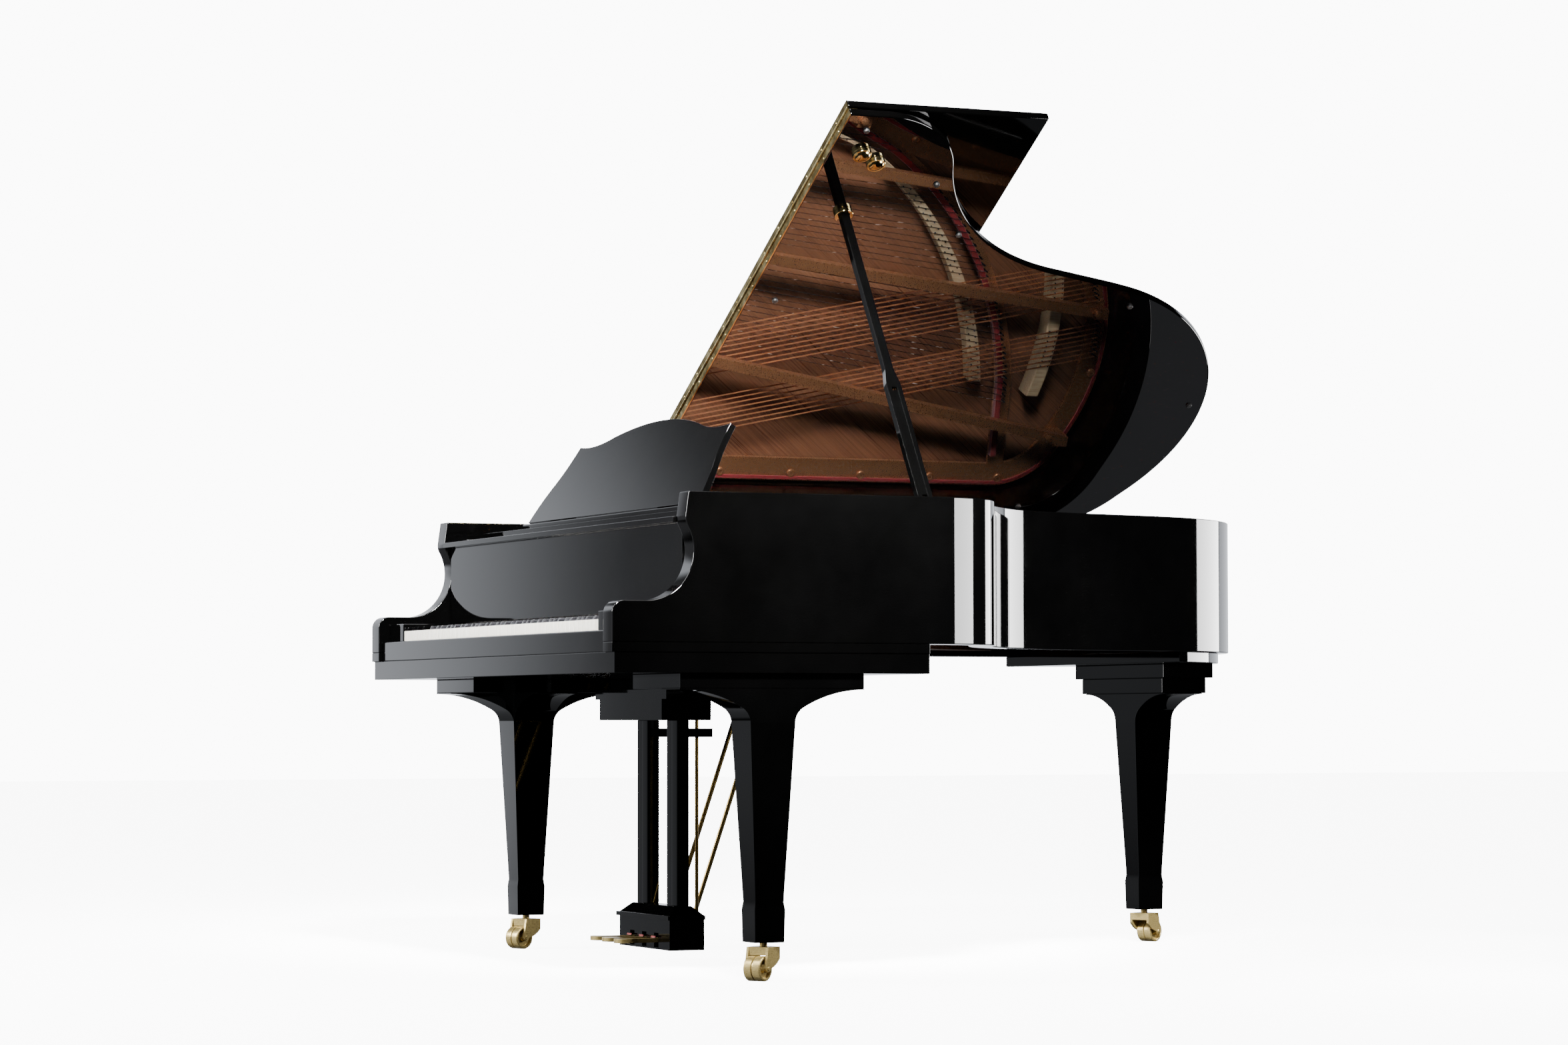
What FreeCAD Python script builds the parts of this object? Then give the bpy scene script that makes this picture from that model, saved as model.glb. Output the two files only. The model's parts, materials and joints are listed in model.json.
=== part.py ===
import FreeCAD, Part
import math
import os
import Sketcher

# Grand piano with its lid on the long prop.
# Millimetres and degrees. X runs to the treble side, Y to the tail, Z up from the floor.
# Heights are measured from the floor, and lengths along Y from the fronts of the arms.

SIZES = {
    # case outline, one chain of tangent arcs from the treble arm round the tail to the spine
    "case_width": 1520,
    "front_to_origin": 1012,
    "side_length": 724,
    "bend_radius": 220,
    "bend_angle": 70,
    "waist_radius": 570,
    "waist_angle": 57,
    "flank_straight": 148,
    "flank_radius": 1650,
    "flank_angle": 2.7,
    "tail_radius": 556,
    "tail_angle": 100,
    "corner_radius": 250,
    # rim and arms
    "rim_wall": 51,
    "rim_bottom": 691,
    "rim_height": 307,
    "arm_height": 84,
    "arm_corner": 25,
    "arm_flat": 75,
    "scroll_radius": 103,
    "scroll_turn": 30,
    "lip_radius": 30,
    "lip_lean": 8,
    "glue_line": 0.2,
    "cut_over": 12,
    # keybed and key slip
    "bed_height": 42,
    "band_height": 20,
    "bed_front": 6,
    "bed_back": 710,
    "bed_inset": 3,
    "band_inset": 1,
    "slip_front": 8,
    "slip_wall": 19,
    "slip_height": 45,
    "side_fit": 0.3,
    # keys
    "block_space": 98,
    "key_gap": 1,
    "key_front_gap": 2,
    "white_length": 390,
    "white_head": 50,
    "black_front_gap": 1.5,
    "key_height": 23,
    "black_height": 12,
    "black_width": 10,
    "black_top_length": 95,
    "balance_back": 221,
    "balance_half": 4,
    "key_rest_gap": 0.3,
    "rail_height": 45.7,
    "frame_wall": 10,
    "front_rail_height": 19,
    "front_rail_depth": 50,
    "back_rail_depth": 24,
    "block_top": 757,
    "block_back": 165,
    # fallboard
    "fallboard_front": 175,
    "fallboard_wall": 18,
    "fallboard_bottom": 760,
    "fallboard_top": 937,
    "fallboard_lip": 20,
    "fallboard_lip_wall": 12,
    "fallboard_gap": 4,
    "fallboard_pivot_back": 6,
    "fallboard_pivot_rise": 18,
    "pivot_radius": 5,
    "pivot_depth": 8,
    "running_fit": 0.05,
    # shelf, desk tray and music desk
    "shelf_front": 196,
    "shelf_depth": 66,
    "shelf_wall": 33,
    "shelf_top": 948,
    "tray_bottom": 957,
    "tray_wall": 12.7,
    "tray_side_gap": 54,
    "tray_front": 236,
    "tray_depth": 310,
    "tray_bearing": 6,
    "rail_wall": 16,
    "rail_length": 500,
    "desk_hinge_back": 306,
    "desk_barrel": 5,
    "desk_pin": 2,
    "desk_barrel_gap": 0.3,
    "desk_barrel_length": 60,
    "desk_barrel_side": 350,
    "desk_lean": 31,
    "desk_wall": 14,
    "desk_offset": 5,
    "desk_foot": 6,
    "desk_low_half": 504,
    "desk_waist_half": 468,
    "desk_waist_up": 110,
    "desk_top_half": 440,
    "desk_corner_up": 208,
    "desk_hump_half": 250,
    "desk_hump_up": 222,
    "desk_hump_radius": 1170,
    "desk_side_radius": 260,
    "desk_shoulder_radius": 460,
    "brace_reach": 120,
    "brace_half": 3,
    "brace_width": 120,
    # plate, soundboard and strings
    "belly_set_forward": 104,
    "belly_wall": 32,
    "board_bottom": 838,
    "board_wall": 9,
    "board_gap": 2,
    "ledge_bottom": 720,
    "ledge_width": 45,
    "rib_height": 22,
    "rib_width": 24,
    "rib_pitch": 150,
    "rib_angle": 38,
    "rib_first": -650,
    "rib_gap": 3,
    "beam_bottom": 705,
    "beam_top": 790,
    "beam_width": 70,
    "beam_spread": 34,
    "pin_block_front": 335,
    "pin_block_back": 520,
    "pin_block_height": 50,
    "plate_bottom": 856,
    "plate_wall": 10,
    "plate_gap": 4,
    "plate_front": 325,
    "plate_flange": 60,
    "plate_web_back": 548,
    "web_front": 600,
    "web_left": 470,
    "web_tip_left": 330,
    "web_tip_back": 1100,
    "web_hole_radius": 42,
    "web_hole_shrink": 6,
    "web_hole_side": 545,
    "web_hole_back": 660,
    "web_hole_step": 110,
    "web_hole_drift": 38,
    "strut_width": 26,
    "strut_bottom": 904,
    "strut_wall": 24,
    "strut_front": 510,
    "strut_foot": 36,
    "bridge_height": 37,
    "bridge_width": 34,
    "bass_bridge_rise": 12,
    "hitch_inset": 92,
    "hitch_rail_width": 44,
    "string_radius": 1,
    "wound_radius": 1.8,
    "string_gap": 0.3,
    "string_pitch": 13,
    "plain_left": -296,
    "plain_count": 69,
    "plain_lean": 9,
    "wound_left": -640,
    "wound_count": 22,
    "wound_lean": 13,
    "tuning_pin_width": 6.5,
    "tuning_pin_height": 33,
    "tuning_pin_front": 360,
    "tuning_row_pitch": 34,
    "damper_front": 628,
    "damper_length": 36,
    "damper_width": 7,
    "damper_height": 15,
    # action
    "action_front": 436,
    "action_depth": 30,
    "action_bottom": 762,
    "action_wall": 30,
    "action_inset": 21,
    "stand_width": 14,
    "hammer_width": 8,
    "hammer_front": 553,
    "hammer_depth": 24,
    "hammer_top": 872,
    "shank_wall": 6,
    # lid, flap and hinges
    "lid_overhang": 12,
    "lid_gap": 3,
    "lid_wall": 17,
    "lid_set_forward": 91,
    "lid_angle": 32,
    "flap_gap": 2,
    "flap_depth": 484,
    "flap_rise": 3,
    "flap_leaf": 22,
    "flap_leaf_wall": 1,
    "hinge_stand_off": 6,
    "hinge_radius": 5.6,
    "hinge_pin": 3,
    "hinge_length": 34,
    "hinge_gap": 0.5,
    "hinge_first": 760,
    "hinge_pitch": 390,
    "hinge_arm": 11,
    # props
    "prop_stand_off": 24,
    "prop_drop": 33,
    "prop_behind_side": 19,
    "prop_wall": 16,
    "prop_low_half": 17,
    "prop_top_half": 10,
    "prop_low_length": 330,
    "prop_shoulder": 46,
    "prop_shoulder_radius": 160,
    "prop_foot": 12,
    "prop_pin": 5,
    "slot_half": 6.3,
    "slot_start": 40,
    "slot_end": 325,
    "short_half": 6,
    "short_start": 46,
    "short_pivot": 305,
    "short_top": 13,
    "short_wall": 12,
    "short_pin": 4,
    "bracket_gap": 0.3,
    "bracket_ear": 10,
    "bracket_low": 30,
    "bracket_high": 10,
    "bracket_half": 14,
    "cup_radius": 21,
    "cup_floor": 3,
    "cup_height": 11,
    "cup_clearance": 0.4,
    "cup_step_along": 205,
    "cup_step_front": 36,
    "cup_pair_along": 28,
    "cup_pair_back": 44,
    # legs
    "leg_inset": 16,
    "leg_back": 360,
    "leg_top": 100,
    "leg_neck": 63,
    "leg_bracket_bottom": 527,
    "bracket_reach": 156,
    "bracket_rise": 69,
    "bracket_turn": 60,
    "bracket_lip": 2,
    "rear_reach": 150,
    "rear_rise": 69,
    "foot_top": 162,
    "foot_flare": 16,
    "foot_width": 68,
    "foot_base": 65,
    "leg_bottom": 79,
    "rear_leg_from_spine": 415,
    "rear_leg_from_tail": 145,
    "rear_band_inset": 24,
    "rear_band_reach": 172,
    "rear_band_height": 24,
    "rear_block_side": 221,
    "rear_block_depth": 68,
    "rear_plate_depth": 60,
    "rear_plate_height": 36,
    # casters
    "wheel_radius": 26,
    "wheel_width": 19,
    "wheel_gap": 1.5,
    "wheel_recess": 7,
    "wheel_recess_radius": 20,
    "wheel_hub": 9,
    "axle_radius": 4,
    "axle_proud": 2,
    "trail": 22,
    "fork_gap": 1,
    "fork_wall": 6,
    "fork_half": 22,
    "fork_top": 70,
    "fork_crown": 10,
    "fork_lobe": 9,
    "fork_heel": 46,
    "fork_heel_radius": 60,
    "stem_radius": 8,
    "stem_depth": 30,
    "caster_left_turn": -158,
    "caster_right_turn": -146,
    "caster_rear_turn": 28,
    # lyre and pedals
    "lyre_half": 183,
    "lyre_front": 344,
    "lyre_back": 460,
    "lyre_bottom": 534,
    "lyre_wall": 46,
    "lyre_step": 21,
    "lyre_step_in": 26,
    "post_side": 86,
    "post_width": 47,
    "post_depth": 37,
    "post_front": 402,
    "post_chamfer": 9,
    "rear_rail_back": 494,
    "rear_rail_bottom": 497,
    "rear_rail_wall": 19,
    "rear_rail_half": 112,
    "box_half": 146,
    "box_front": 378,
    "box_back": 460,
    "box_bottom": 34,
    "box_body": 66,
    "box_ledge": 9,
    "box_ledge_out": 6,
    "box_cap": 20,
    "box_cap_in": 22,
    "pedal_pitch": 70,
    "pedal_slot_half": 13,
    "pedal_slot_low": 38,
    "pedal_slot_high": 70,
    "pedal_pivot_back": 420,
    "pedal_pivot_up": 54,
    "pedal_half": 9,
    "pedal_wall": 9,
    "pedal_rear": 484,
    "pedal_neck": 330,
    "pedal_head_back": 296,
    "pedal_head_half": 24,
    "pedal_head_radius": 26,
    "pedal_pin": 2.5,
    "rod_back": 474,
    "rod_radius": 4,
    "rod_tip_radius": 1.5,
    "rod_tip": 10,
    "rod_gap": 0.6,
    "rod_guide_fit": 0.5,
    "rod_top_gap": 12,
    "lyre_brace_side": 60,
    "lyre_brace_radius": 5,
    "lyre_brace_low": 88,
    "lyre_brace_length": 570,
    "lyre_brace_angle": 19,
}

# The struts of the iron plate: name, place along X at the front, then X and Y of the far end.
STRUTS = {
    "strut_bass": (-318, -556, 1826),
    "strut_tenor": (-62, -214, 1864),
    "strut_middle": (188, 70, 1650),
    "strut_treble": (404, 245, 1120),
}

# The front edges of the two bridges: corners with the radius of the arc that ends there.
LONG_BRIDGE = ((420, 664), (170, 1120, -1300), (-420, 1540, 900))
BASS_BRIDGE = ((-450, 1700), (-80, 1690, -700))
# The rail of the plate behind the long bridge, where the plain strings are hitched.
HITCH_RAIL = ((505, 750), (172, 1200, -1300), (-415, 1622, 900), (-660, 1650))

WHITE_NOTES = "abcdefg"
# How far each black key stands off the joint of its two white keys, in black widths.
BLACK_OFFSETS = {"a": 0.25, "c": -0.25, "d": 0.25, "f": -0.3, "g": 0.0}
WHITE_COUNT = 52

DOC = FreeCAD.newDocument("grand_piano")
SHEET = DOC.addObject("Spreadsheet::Sheet", "sizes")
NODES = []


def fill_sheet():
    """Write every driving size to the sheet under its own alias."""
    rows = dict(SIZES)
    for name, (front_side, back_side, back) in STRUTS.items():
        rows[name + "_front_side"] = front_side
        rows[name + "_back_side"] = back_side
        rows[name + "_back"] = back
    for row, (name, value) in enumerate(rows.items(), 1):
        SHEET.set("A%d" % row, name)
        SHEET.set("B%d" % row, str(value))
        SHEET.setAlias("B%d" % row, name)
    DOC.recompute()
    return rows


class Size:
    """A number together with the expression that ties it to the sheet."""

    def __init__(self, value, text):
        self.value = float(value)
        self.text = text

    def __add__(self, other):
        other = as_size(other)
        return Size(self.value + other.value, "(%s + %s)" % (self.text, other.text))

    def __sub__(self, other):
        other = as_size(other)
        return Size(self.value - other.value, "(%s - %s)" % (self.text, other.text))

    def __mul__(self, other):
        other = as_size(other)
        return Size(self.value * other.value, "(%s * %s)" % (self.text, other.text))

    def __truediv__(self, other):
        other = as_size(other)
        return Size(self.value / other.value, "(%s / %s)" % (self.text, other.text))

    def __radd__(self, other):
        return as_size(other) + self

    def __rsub__(self, other):
        return as_size(other) - self

    def __rmul__(self, other):
        return as_size(other) * self

    def __neg__(self):
        return Size(-self.value, "(-%s)" % self.text)


def as_size(number):
    """Return a plain number as a Size."""
    if isinstance(number, Size):
        return number
    return Size(number, "(%.9g)" % number)


def cosine(angle):
    """Return the cosine of an angle in degrees."""
    return Size(math.cos(math.radians(angle.value)), "cos(%s)" % angle.text)


def sine(angle):
    """Return the sine of an angle in degrees."""
    return Size(math.sin(math.radians(angle.value)), "sin(%s)" % angle.text)


class Cells:
    """The sheet's cells by name."""

    def __init__(self, rows):
        self.rows = rows

    def __getattr__(self, name):
        return Size(self.rows[name], "sizes." + name)

    def named(self, name):
        return Size(self.rows[name], "sizes." + name)


S = Cells(fill_sheet())

# Sizes that several pieces share
FRONT = -S.front_to_origin
HALF = S.case_width / 2
INNER_HALF = HALF - S.rim_wall
RIM_TOP = S.rim_bottom + S.rim_height
BED_TOP = S.rim_bottom - S.band_height
BED_BOTTOM = BED_TOP - S.bed_height
KEY_FRONT = S.slip_front + S.slip_wall + S.key_front_gap
KEY_BOTTOM = BED_TOP + S.rail_height + S.key_rest_gap
KEY_TOP = KEY_BOTTOM + S.key_height
KEY_FIELD_HALF = INNER_HALF - S.block_space
KEY_PITCH = KEY_FIELD_HALF / (WHITE_COUNT / 2)
ACTION_HALF = KEY_FIELD_HALF - S.action_inset
TRAY_HALF = INNER_HALF - S.tray_side_gap
BALANCE = KEY_FRONT + S.balance_back
PIVOT_BACK = S.fallboard_front + S.fallboard_pivot_back
PIVOT_UP = S.fallboard_bottom + S.fallboard_pivot_rise
TRAY_TOP = S.tray_bottom + S.tray_wall
DESK_UP = TRAY_TOP + S.desk_barrel + S.desk_barrel_gap
BELLY_FRONT = S.side_length - S.belly_set_forward
BELLY_BACK = BELLY_FRONT + S.belly_wall
LEDGE_INSET = S.rim_wall + S.glue_line
INSIDE_INSET = LEDGE_INSET + S.ledge_width + S.rib_gap
BOARD_TOP = S.board_bottom + S.board_wall
PLATE_TOP = S.plate_bottom + S.plate_wall
PLATE_INSET = S.rim_wall + S.plate_gap
BRIDGE_TOP = BOARD_TOP + S.bridge_height
PLAIN_UP = BRIDGE_TOP + S.string_radius + S.string_gap
WOUND_UP = BRIDGE_TOP + S.bass_bridge_rise + S.wound_radius + S.string_gap
HINGE_SIDE = -(HALF + S.lid_overhang + S.hinge_stand_off)
HINGE_UP = RIM_TOP + S.lid_gap
PROP_SIDE = INNER_HALF - S.prop_stand_off
PROP_UP = RIM_TOP - S.prop_drop
PROP_BACK = S.side_length + S.prop_behind_side
PROP_ACROSS = PROP_SIDE - HINGE_SIDE
PROP_BELOW = PROP_UP - HINGE_UP
SEAT_ALONG = PROP_ACROSS * cosine(S.lid_angle) + PROP_BELOW * sine(S.lid_angle)
SEAT_DEPTH = PROP_ACROSS * sine(S.lid_angle) - PROP_BELOW * cosine(S.lid_angle)
PROP_LENGTH = SEAT_DEPTH - S.cup_floor - S.cup_clearance
LID_FRONT = S.side_length - S.lid_set_forward
FLAP_BACK = LID_FRONT - S.flap_gap / 2
FLAP_UP = S.lid_wall + S.flap_rise
LEG_SIDE = HALF - S.leg_inset - S.leg_top / 2
LEG_PLATE_TOP = BED_BOTTOM
BRACKET_TOP = S.leg_bracket_bottom + S.bracket_rise + S.bracket_lip
REAR_TOP = S.leg_bracket_bottom + S.rear_rise + S.bracket_lip
FLANK_TURN = S.bend_angle - S.waist_angle
TAIL_TURN = FLANK_TURN + S.flank_angle
BEND_RUN = S.bend_radius * sine(S.bend_angle)
WAIST_RUN = S.waist_radius * (sine(S.bend_angle) - sine(FLANK_TURN))
FLANK_RUN = S.flank_straight * cosine(FLANK_TURN) + S.flank_radius * (sine(TAIL_TURN) - sine(FLANK_TURN))
TAIL_RUN = S.tail_radius * (1 - sine(TAIL_TURN))
TAIL_BACK = S.side_length + BEND_RUN + WAIST_RUN + FLANK_RUN + TAIL_RUN
REAR_LEG_SIDE = S.rear_leg_from_spine - HALF
REAR_LEG_BACK = TAIL_BACK - S.rear_leg_from_tail
FORK_SPAN = S.wheel_width + S.wheel_gap / 2 + S.fork_gap
PEDAL_UNDER = S.pedal_pivot_up - S.pedal_wall / 2
PEDAL_TOP = S.pedal_pivot_up + S.pedal_wall / 2


# Shared drawing tools

def numbers(corner):
    """Return a corner's numbers as Sizes."""
    return [as_size(number) for number in corner]


def tie(sketch, constraint, size):
    """Add a constraint and bind it to a size."""
    index = sketch.addConstraint(constraint)
    sketch.setExpression("Constraints[%d]" % index, size.text)


def arc_between(start, end, radius):
    """Return the short arc from start to end; a negative radius turns clockwise."""
    chord = end - start
    side = 1 if radius > 0 else -1
    rise = math.sqrt(max(radius * radius - chord.Length * chord.Length / 4, 0))
    across = FreeCAD.Vector(-chord.y, chord.x, 0) * (side * rise / chord.Length)
    centre = (start + end) * 0.5 + across
    first, last = (start, end) if side > 0 else (end, start)
    angle_first = math.atan2(first.y - centre.y, first.x - centre.x)
    angle_last = math.atan2(last.y - centre.y, last.x - centre.x)
    if angle_last < angle_first:
        angle_last += 2 * math.pi
    circle = Part.Circle(centre, FreeCAD.Vector(0, 0, 1), abs(radius))
    return Part.ArcOfCircle(circle, angle_first, angle_last)


def draw_loop(sketch, corners):
    """Draw a closed loop; a corner's third number is the radius of the arc that ends there."""
    corners = [numbers(corner) for corner in corners]
    count = len(corners)
    edges = []
    for index, here in enumerate(corners):
        there = corners[(index + 1) % count]
        start = FreeCAD.Vector(here[0].value, here[1].value, 0)
        end = FreeCAD.Vector(there[0].value, there[1].value, 0)
        if len(there) == 2:
            edges.append((sketch.addGeometry(Part.LineSegment(start, end), False), 1, 2))
        else:
            arc = sketch.addGeometry(arc_between(start, end, there[2].value), False)
            ends = (1, 2) if there[2].value > 0 else (2, 1)
            edges.append((arc,) + ends)
    for index, (edge, first, last) in enumerate(edges):
        following, start, unused = edges[(index + 1) % count]
        sketch.addConstraint(Sketcher.Constraint("Coincident", edge, last, following, start))
    for index, (edge, first, last) in enumerate(edges):
        across, up = corners[index][:2]
        there = corners[(index + 1) % count]
        if across.value == 0:
            sketch.addConstraint(Sketcher.Constraint("PointOnObject", edge, first, -2))
        else:
            tie(sketch, Sketcher.Constraint("DistanceX", -1, 1, edge, first, across.value), across)
        if up.value == 0:
            sketch.addConstraint(Sketcher.Constraint("PointOnObject", edge, first, -1))
        else:
            tie(sketch, Sketcher.Constraint("DistanceY", -1, 1, edge, first, up.value), up)
        if len(there) == 3:
            radius = there[2] if there[2].value > 0 else -there[2]
            tie(sketch, Sketcher.Constraint("Radius", edge, radius.value), radius)


def outline_turns(inset):
    """Return the case outline's arcs and straights as (kind, size, turn), inset from the rim."""
    return [
        ("arc", S.bend_radius - inset, S.bend_angle),
        ("arc", S.waist_radius + inset, -S.waist_angle),
        ("line", S.flank_straight, None),
        ("arc", S.flank_radius - inset, S.flank_angle),
        ("arc", S.tail_radius - inset, S.tail_angle),
        ("line", None, None),
        ("arc", S.corner_radius - inset, None),
    ]


def outline_shapes(inset, front, shift):
    """Work out the outline's first drawing: its geometry and how each piece is traversed."""
    half = (HALF - inset).value
    turns = outline_turns(inset)
    spine = -half + shift.value
    place = FreeCAD.Vector(half + shift.value, S.side_length.value, 0)
    heading = math.pi / 2
    shapes = [(Part.LineSegment(FreeCAD.Vector(place.x, front.value, 0), place), 1, 2)]
    for kind, size, turn in turns:
        along = FreeCAD.Vector(math.cos(heading), math.sin(heading), 0)
        if kind == "line":
            corner = turns[-1][1].value
            room = place.x - spine - corner * (1 + math.sin(heading))
            length = size.value if size else -room / math.cos(heading)
            end = place + along * length
            shapes.append((Part.LineSegment(place, end), 1, 2))
        else:
            swing = math.radians(turn.value) if turn else 1.5 * math.pi - heading
            side = 1 if swing > 0 else -1
            centre = place + FreeCAD.Vector(-along.y, along.x, 0) * (side * size.value)
            first = math.atan2(place.y - centre.y, place.x - centre.x)
            circle = Part.Circle(centre, FreeCAD.Vector(0, 0, 1), size.value)
            low, high = (first, first + swing) if swing > 0 else (first + swing, first)
            shapes.append((Part.ArcOfCircle(circle, low, high),) + ((1, 2) if swing > 0 else (2, 1)))
            end = centre + FreeCAD.Vector(math.cos(first + swing), math.sin(first + swing), 0) * size.value
            heading += swing
        place = end
    foot = FreeCAD.Vector(spine, front.value, 0)
    shapes.append((Part.LineSegment(place, foot), 1, 2))
    shapes.append((Part.LineSegment(foot, FreeCAD.Vector(half + shift.value, front.value, 0)), 1, 2))
    return shapes


def draw_outline(sketch, inset, front, shift):
    """Draw the case outline, inset all round, with its front edge at front."""
    inset, front, shift = numbers((inset, front, shift))
    shapes = outline_shapes(inset, front, shift)
    edges = [(sketch.addGeometry(shape, False), first, last) for shape, first, last in shapes]
    spine = len(edges) - 2
    for index, (edge, first, last) in enumerate(edges):
        following, start, unused = edges[(index + 1) % len(edges)]
        kind = "Tangent" if index < spine else "Coincident"
        sketch.addConstraint(Sketcher.Constraint(kind, edge, last, following, start))
    for (edge, first, last), (kind, size, turn) in zip(edges[1:], outline_turns(inset)):
        if kind == "line" and size:
            tie(sketch, Sketcher.Constraint("Distance", edge, size.value), size)
        if kind == "arc":
            tie(sketch, Sketcher.Constraint("Radius", edge, size.value), size)
        if turn:
            swing = turn if turn.value > 0 else -turn
            tie(sketch, Sketcher.Constraint("Angle", edge, math.radians(swing.value)), swing)
    right = HALF - inset + shift
    left = inset - HALF + shift
    sketch.addConstraint(Sketcher.Constraint("Vertical", 0))
    tie(sketch, Sketcher.Constraint("DistanceX", -1, 1, 0, 1, right.value), right)
    tie(sketch, Sketcher.Constraint("DistanceY", -1, 1, 0, 1, front.value), front)
    tie(sketch, Sketcher.Constraint("DistanceY", -1, 1, 0, 2, S.side_length.value), S.side_length)
    sketch.addConstraint(Sketcher.Constraint("Vertical", spine))
    tie(sketch, Sketcher.Constraint("DistanceX", -1, 1, spine, 2, left.value), left)
    sketch.addConstraint(Sketcher.Constraint("Horizontal", spine + 1))


def new_pad(label, plane, start, end, draw, *drawing):
    """Make a body that pads one sketch from start to end across a plane."""
    start, end = numbers((start, end))
    body = DOC.addObject("PartDesign::Body", label)
    sketch = body.newObject("Sketcher::SketchObject", label + "_sketch")
    planes = {feature.Role: feature for feature in body.Origin.OriginFeatures}
    sketch.AttachmentSupport = (planes[plane], [""])
    sketch.MapMode = "FlatFace"
    backward = plane == "XZ_Plane"
    offset = -start if backward else start
    sketch.setExpression("AttachmentOffset.Base.z", offset.text)
    draw(sketch, *drawing)
    pad = body.newObject("PartDesign::Pad", label + "_pad")
    pad.Profile = sketch
    pad.Reversed = backward
    pad.setExpression("Length", (end - start).text)
    place(body, 0, 0, 0)
    return body


def slab(label, inset, front, bottom, top, shift=0):
    """Make a slab with the case outline."""
    return new_pad(label, "XY_Plane", bottom, top, draw_outline, inset, front, shift)


def prism_z(label, corners, bottom, top):
    """Make a prism from a loop of (x, y) corners."""
    return new_pad(label, "XY_Plane", bottom, top, draw_loop, corners)


def prism_y(label, corners, front, back):
    """Make a prism from a loop of (x, z) corners."""
    return new_pad(label, "XZ_Plane", front, back, draw_loop, corners)


def prism_x(label, corners, left, right):
    """Make a prism from a loop of (y, z) corners."""
    return new_pad(label, "YZ_Plane", left, right, draw_loop, corners)


def place(thing, side, back, up, axis=None, angle=None):
    """Put an object's own origin at a place, turned about an axis."""
    side, back, up = numbers((side, back, up))
    if axis:
        rotation = FreeCAD.Rotation(FreeCAD.Vector(*axis), as_size(angle).value)
        thing.Placement = FreeCAD.Placement(FreeCAD.Vector(0, 0, 0), rotation)
        if isinstance(angle, Size):
            thing.setExpression("Placement.Rotation.Angle", angle.text)
    thing.setExpression("Placement.Base.x", side.text)
    thing.setExpression("Placement.Base.y", (FRONT + back).text)
    thing.setExpression("Placement.Base.z", up.text)
    return thing


def box(label, sides, depths, heights):
    """Make a box between two places along each axis."""
    thing = DOC.addObject("Part::Box", label)
    left, right = numbers(sides)
    front, back = numbers(depths)
    bottom, top = numbers(heights)
    thing.setExpression("Length", (right - left).text)
    thing.setExpression("Width", (back - front).text)
    thing.setExpression("Height", (top - bottom).text)
    return place(thing, left, front, bottom)


def rod(label, radius, length, side, back, up, axis=None, angle=None):
    """Make a round bar that starts at a place and runs up, or along its turned axis."""
    thing = DOC.addObject("Part::Cylinder", label)
    thing.setExpression("Radius", as_size(radius).text)
    thing.setExpression("Height", as_size(length).text)
    return place(thing, side, back, up, axis, angle)


def rod_x(label, radius, left, right, back, up):
    """Make a round bar along X."""
    return rod(label, radius, as_size(right) - left, left, back, up, (0, 1, 0), 90)


def rod_y(label, radius, front, back, side, up):
    """Make a round bar along Y."""
    return rod(label, radius, as_size(back) - front, side, front, up, (-1, 0, 0), 90)


def taper(label, low, high, bottom, top):
    """Make a four-sided taper about the origin, from (x, y) half sizes low to high."""
    thing = DOC.addObject("Part::Wedge", label)
    bottom, top = numbers((bottom, top))
    for half, names in ((low, ("X", "Z")), (high, ("X2", "Z2"))):
        for size, name in zip(numbers(half), names):
            thing.setExpression(name + "min", (-size).text)
            thing.setExpression(name + "max", size.text)
    thing.Ymin = 0
    thing.setExpression("Ymax", (top - bottom).text)
    return place(thing, 0, 0, bottom, (1, 0, 0), 90)


def moved(thing, side, back):
    """Shift an object that was made about the origin."""
    side, back = numbers((side, back))
    thing.setExpression("Placement.Base.x", side.text)
    thing.setExpression("Placement.Base.y", (FRONT + back).text)
    return thing


def fuse(label, things):
    """Join solids into one."""
    joined = DOC.addObject("Part::MultiFuse", label)
    joined.Shapes = things
    joined.Refine = True
    return joined


def cut(label, base, tools):
    """Take tools away from a base."""
    for index, tool in enumerate(tools):
        last = index == len(tools) - 1
        result = DOC.addObject("Part::Cut", label if last else "%s_cut_%d" % (label, index))
        result.Base = base
        result.Tool = tool
        base = result
    return base


def shared(label, base, tool):
    """Keep what two shapes share."""
    result = DOC.addObject("Part::Common", label)
    result.Base = base
    result.Tool = tool
    return result


def group(label, things):
    """Keep separate solids as one group."""
    gathered = DOC.addObject("Part::Compound", label)
    gathered.Links = things
    return gathered


def group_of_shapes(label, shapes):
    """Keep shapes that a loop worked out as one group of solids."""
    gathered = DOC.addObject("Part::Feature", label)
    gathered.Shape = Part.makeCompound(shapes)
    gathered.Placement = FreeCAD.Placement(FreeCAD.Vector(0, FRONT.value, 0), FreeCAD.Rotation())
    return gathered


def node(thing, label):
    """Name a finished sub-part."""
    thing.Label = label
    NODES.append(thing)
    return thing


# Case

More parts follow.
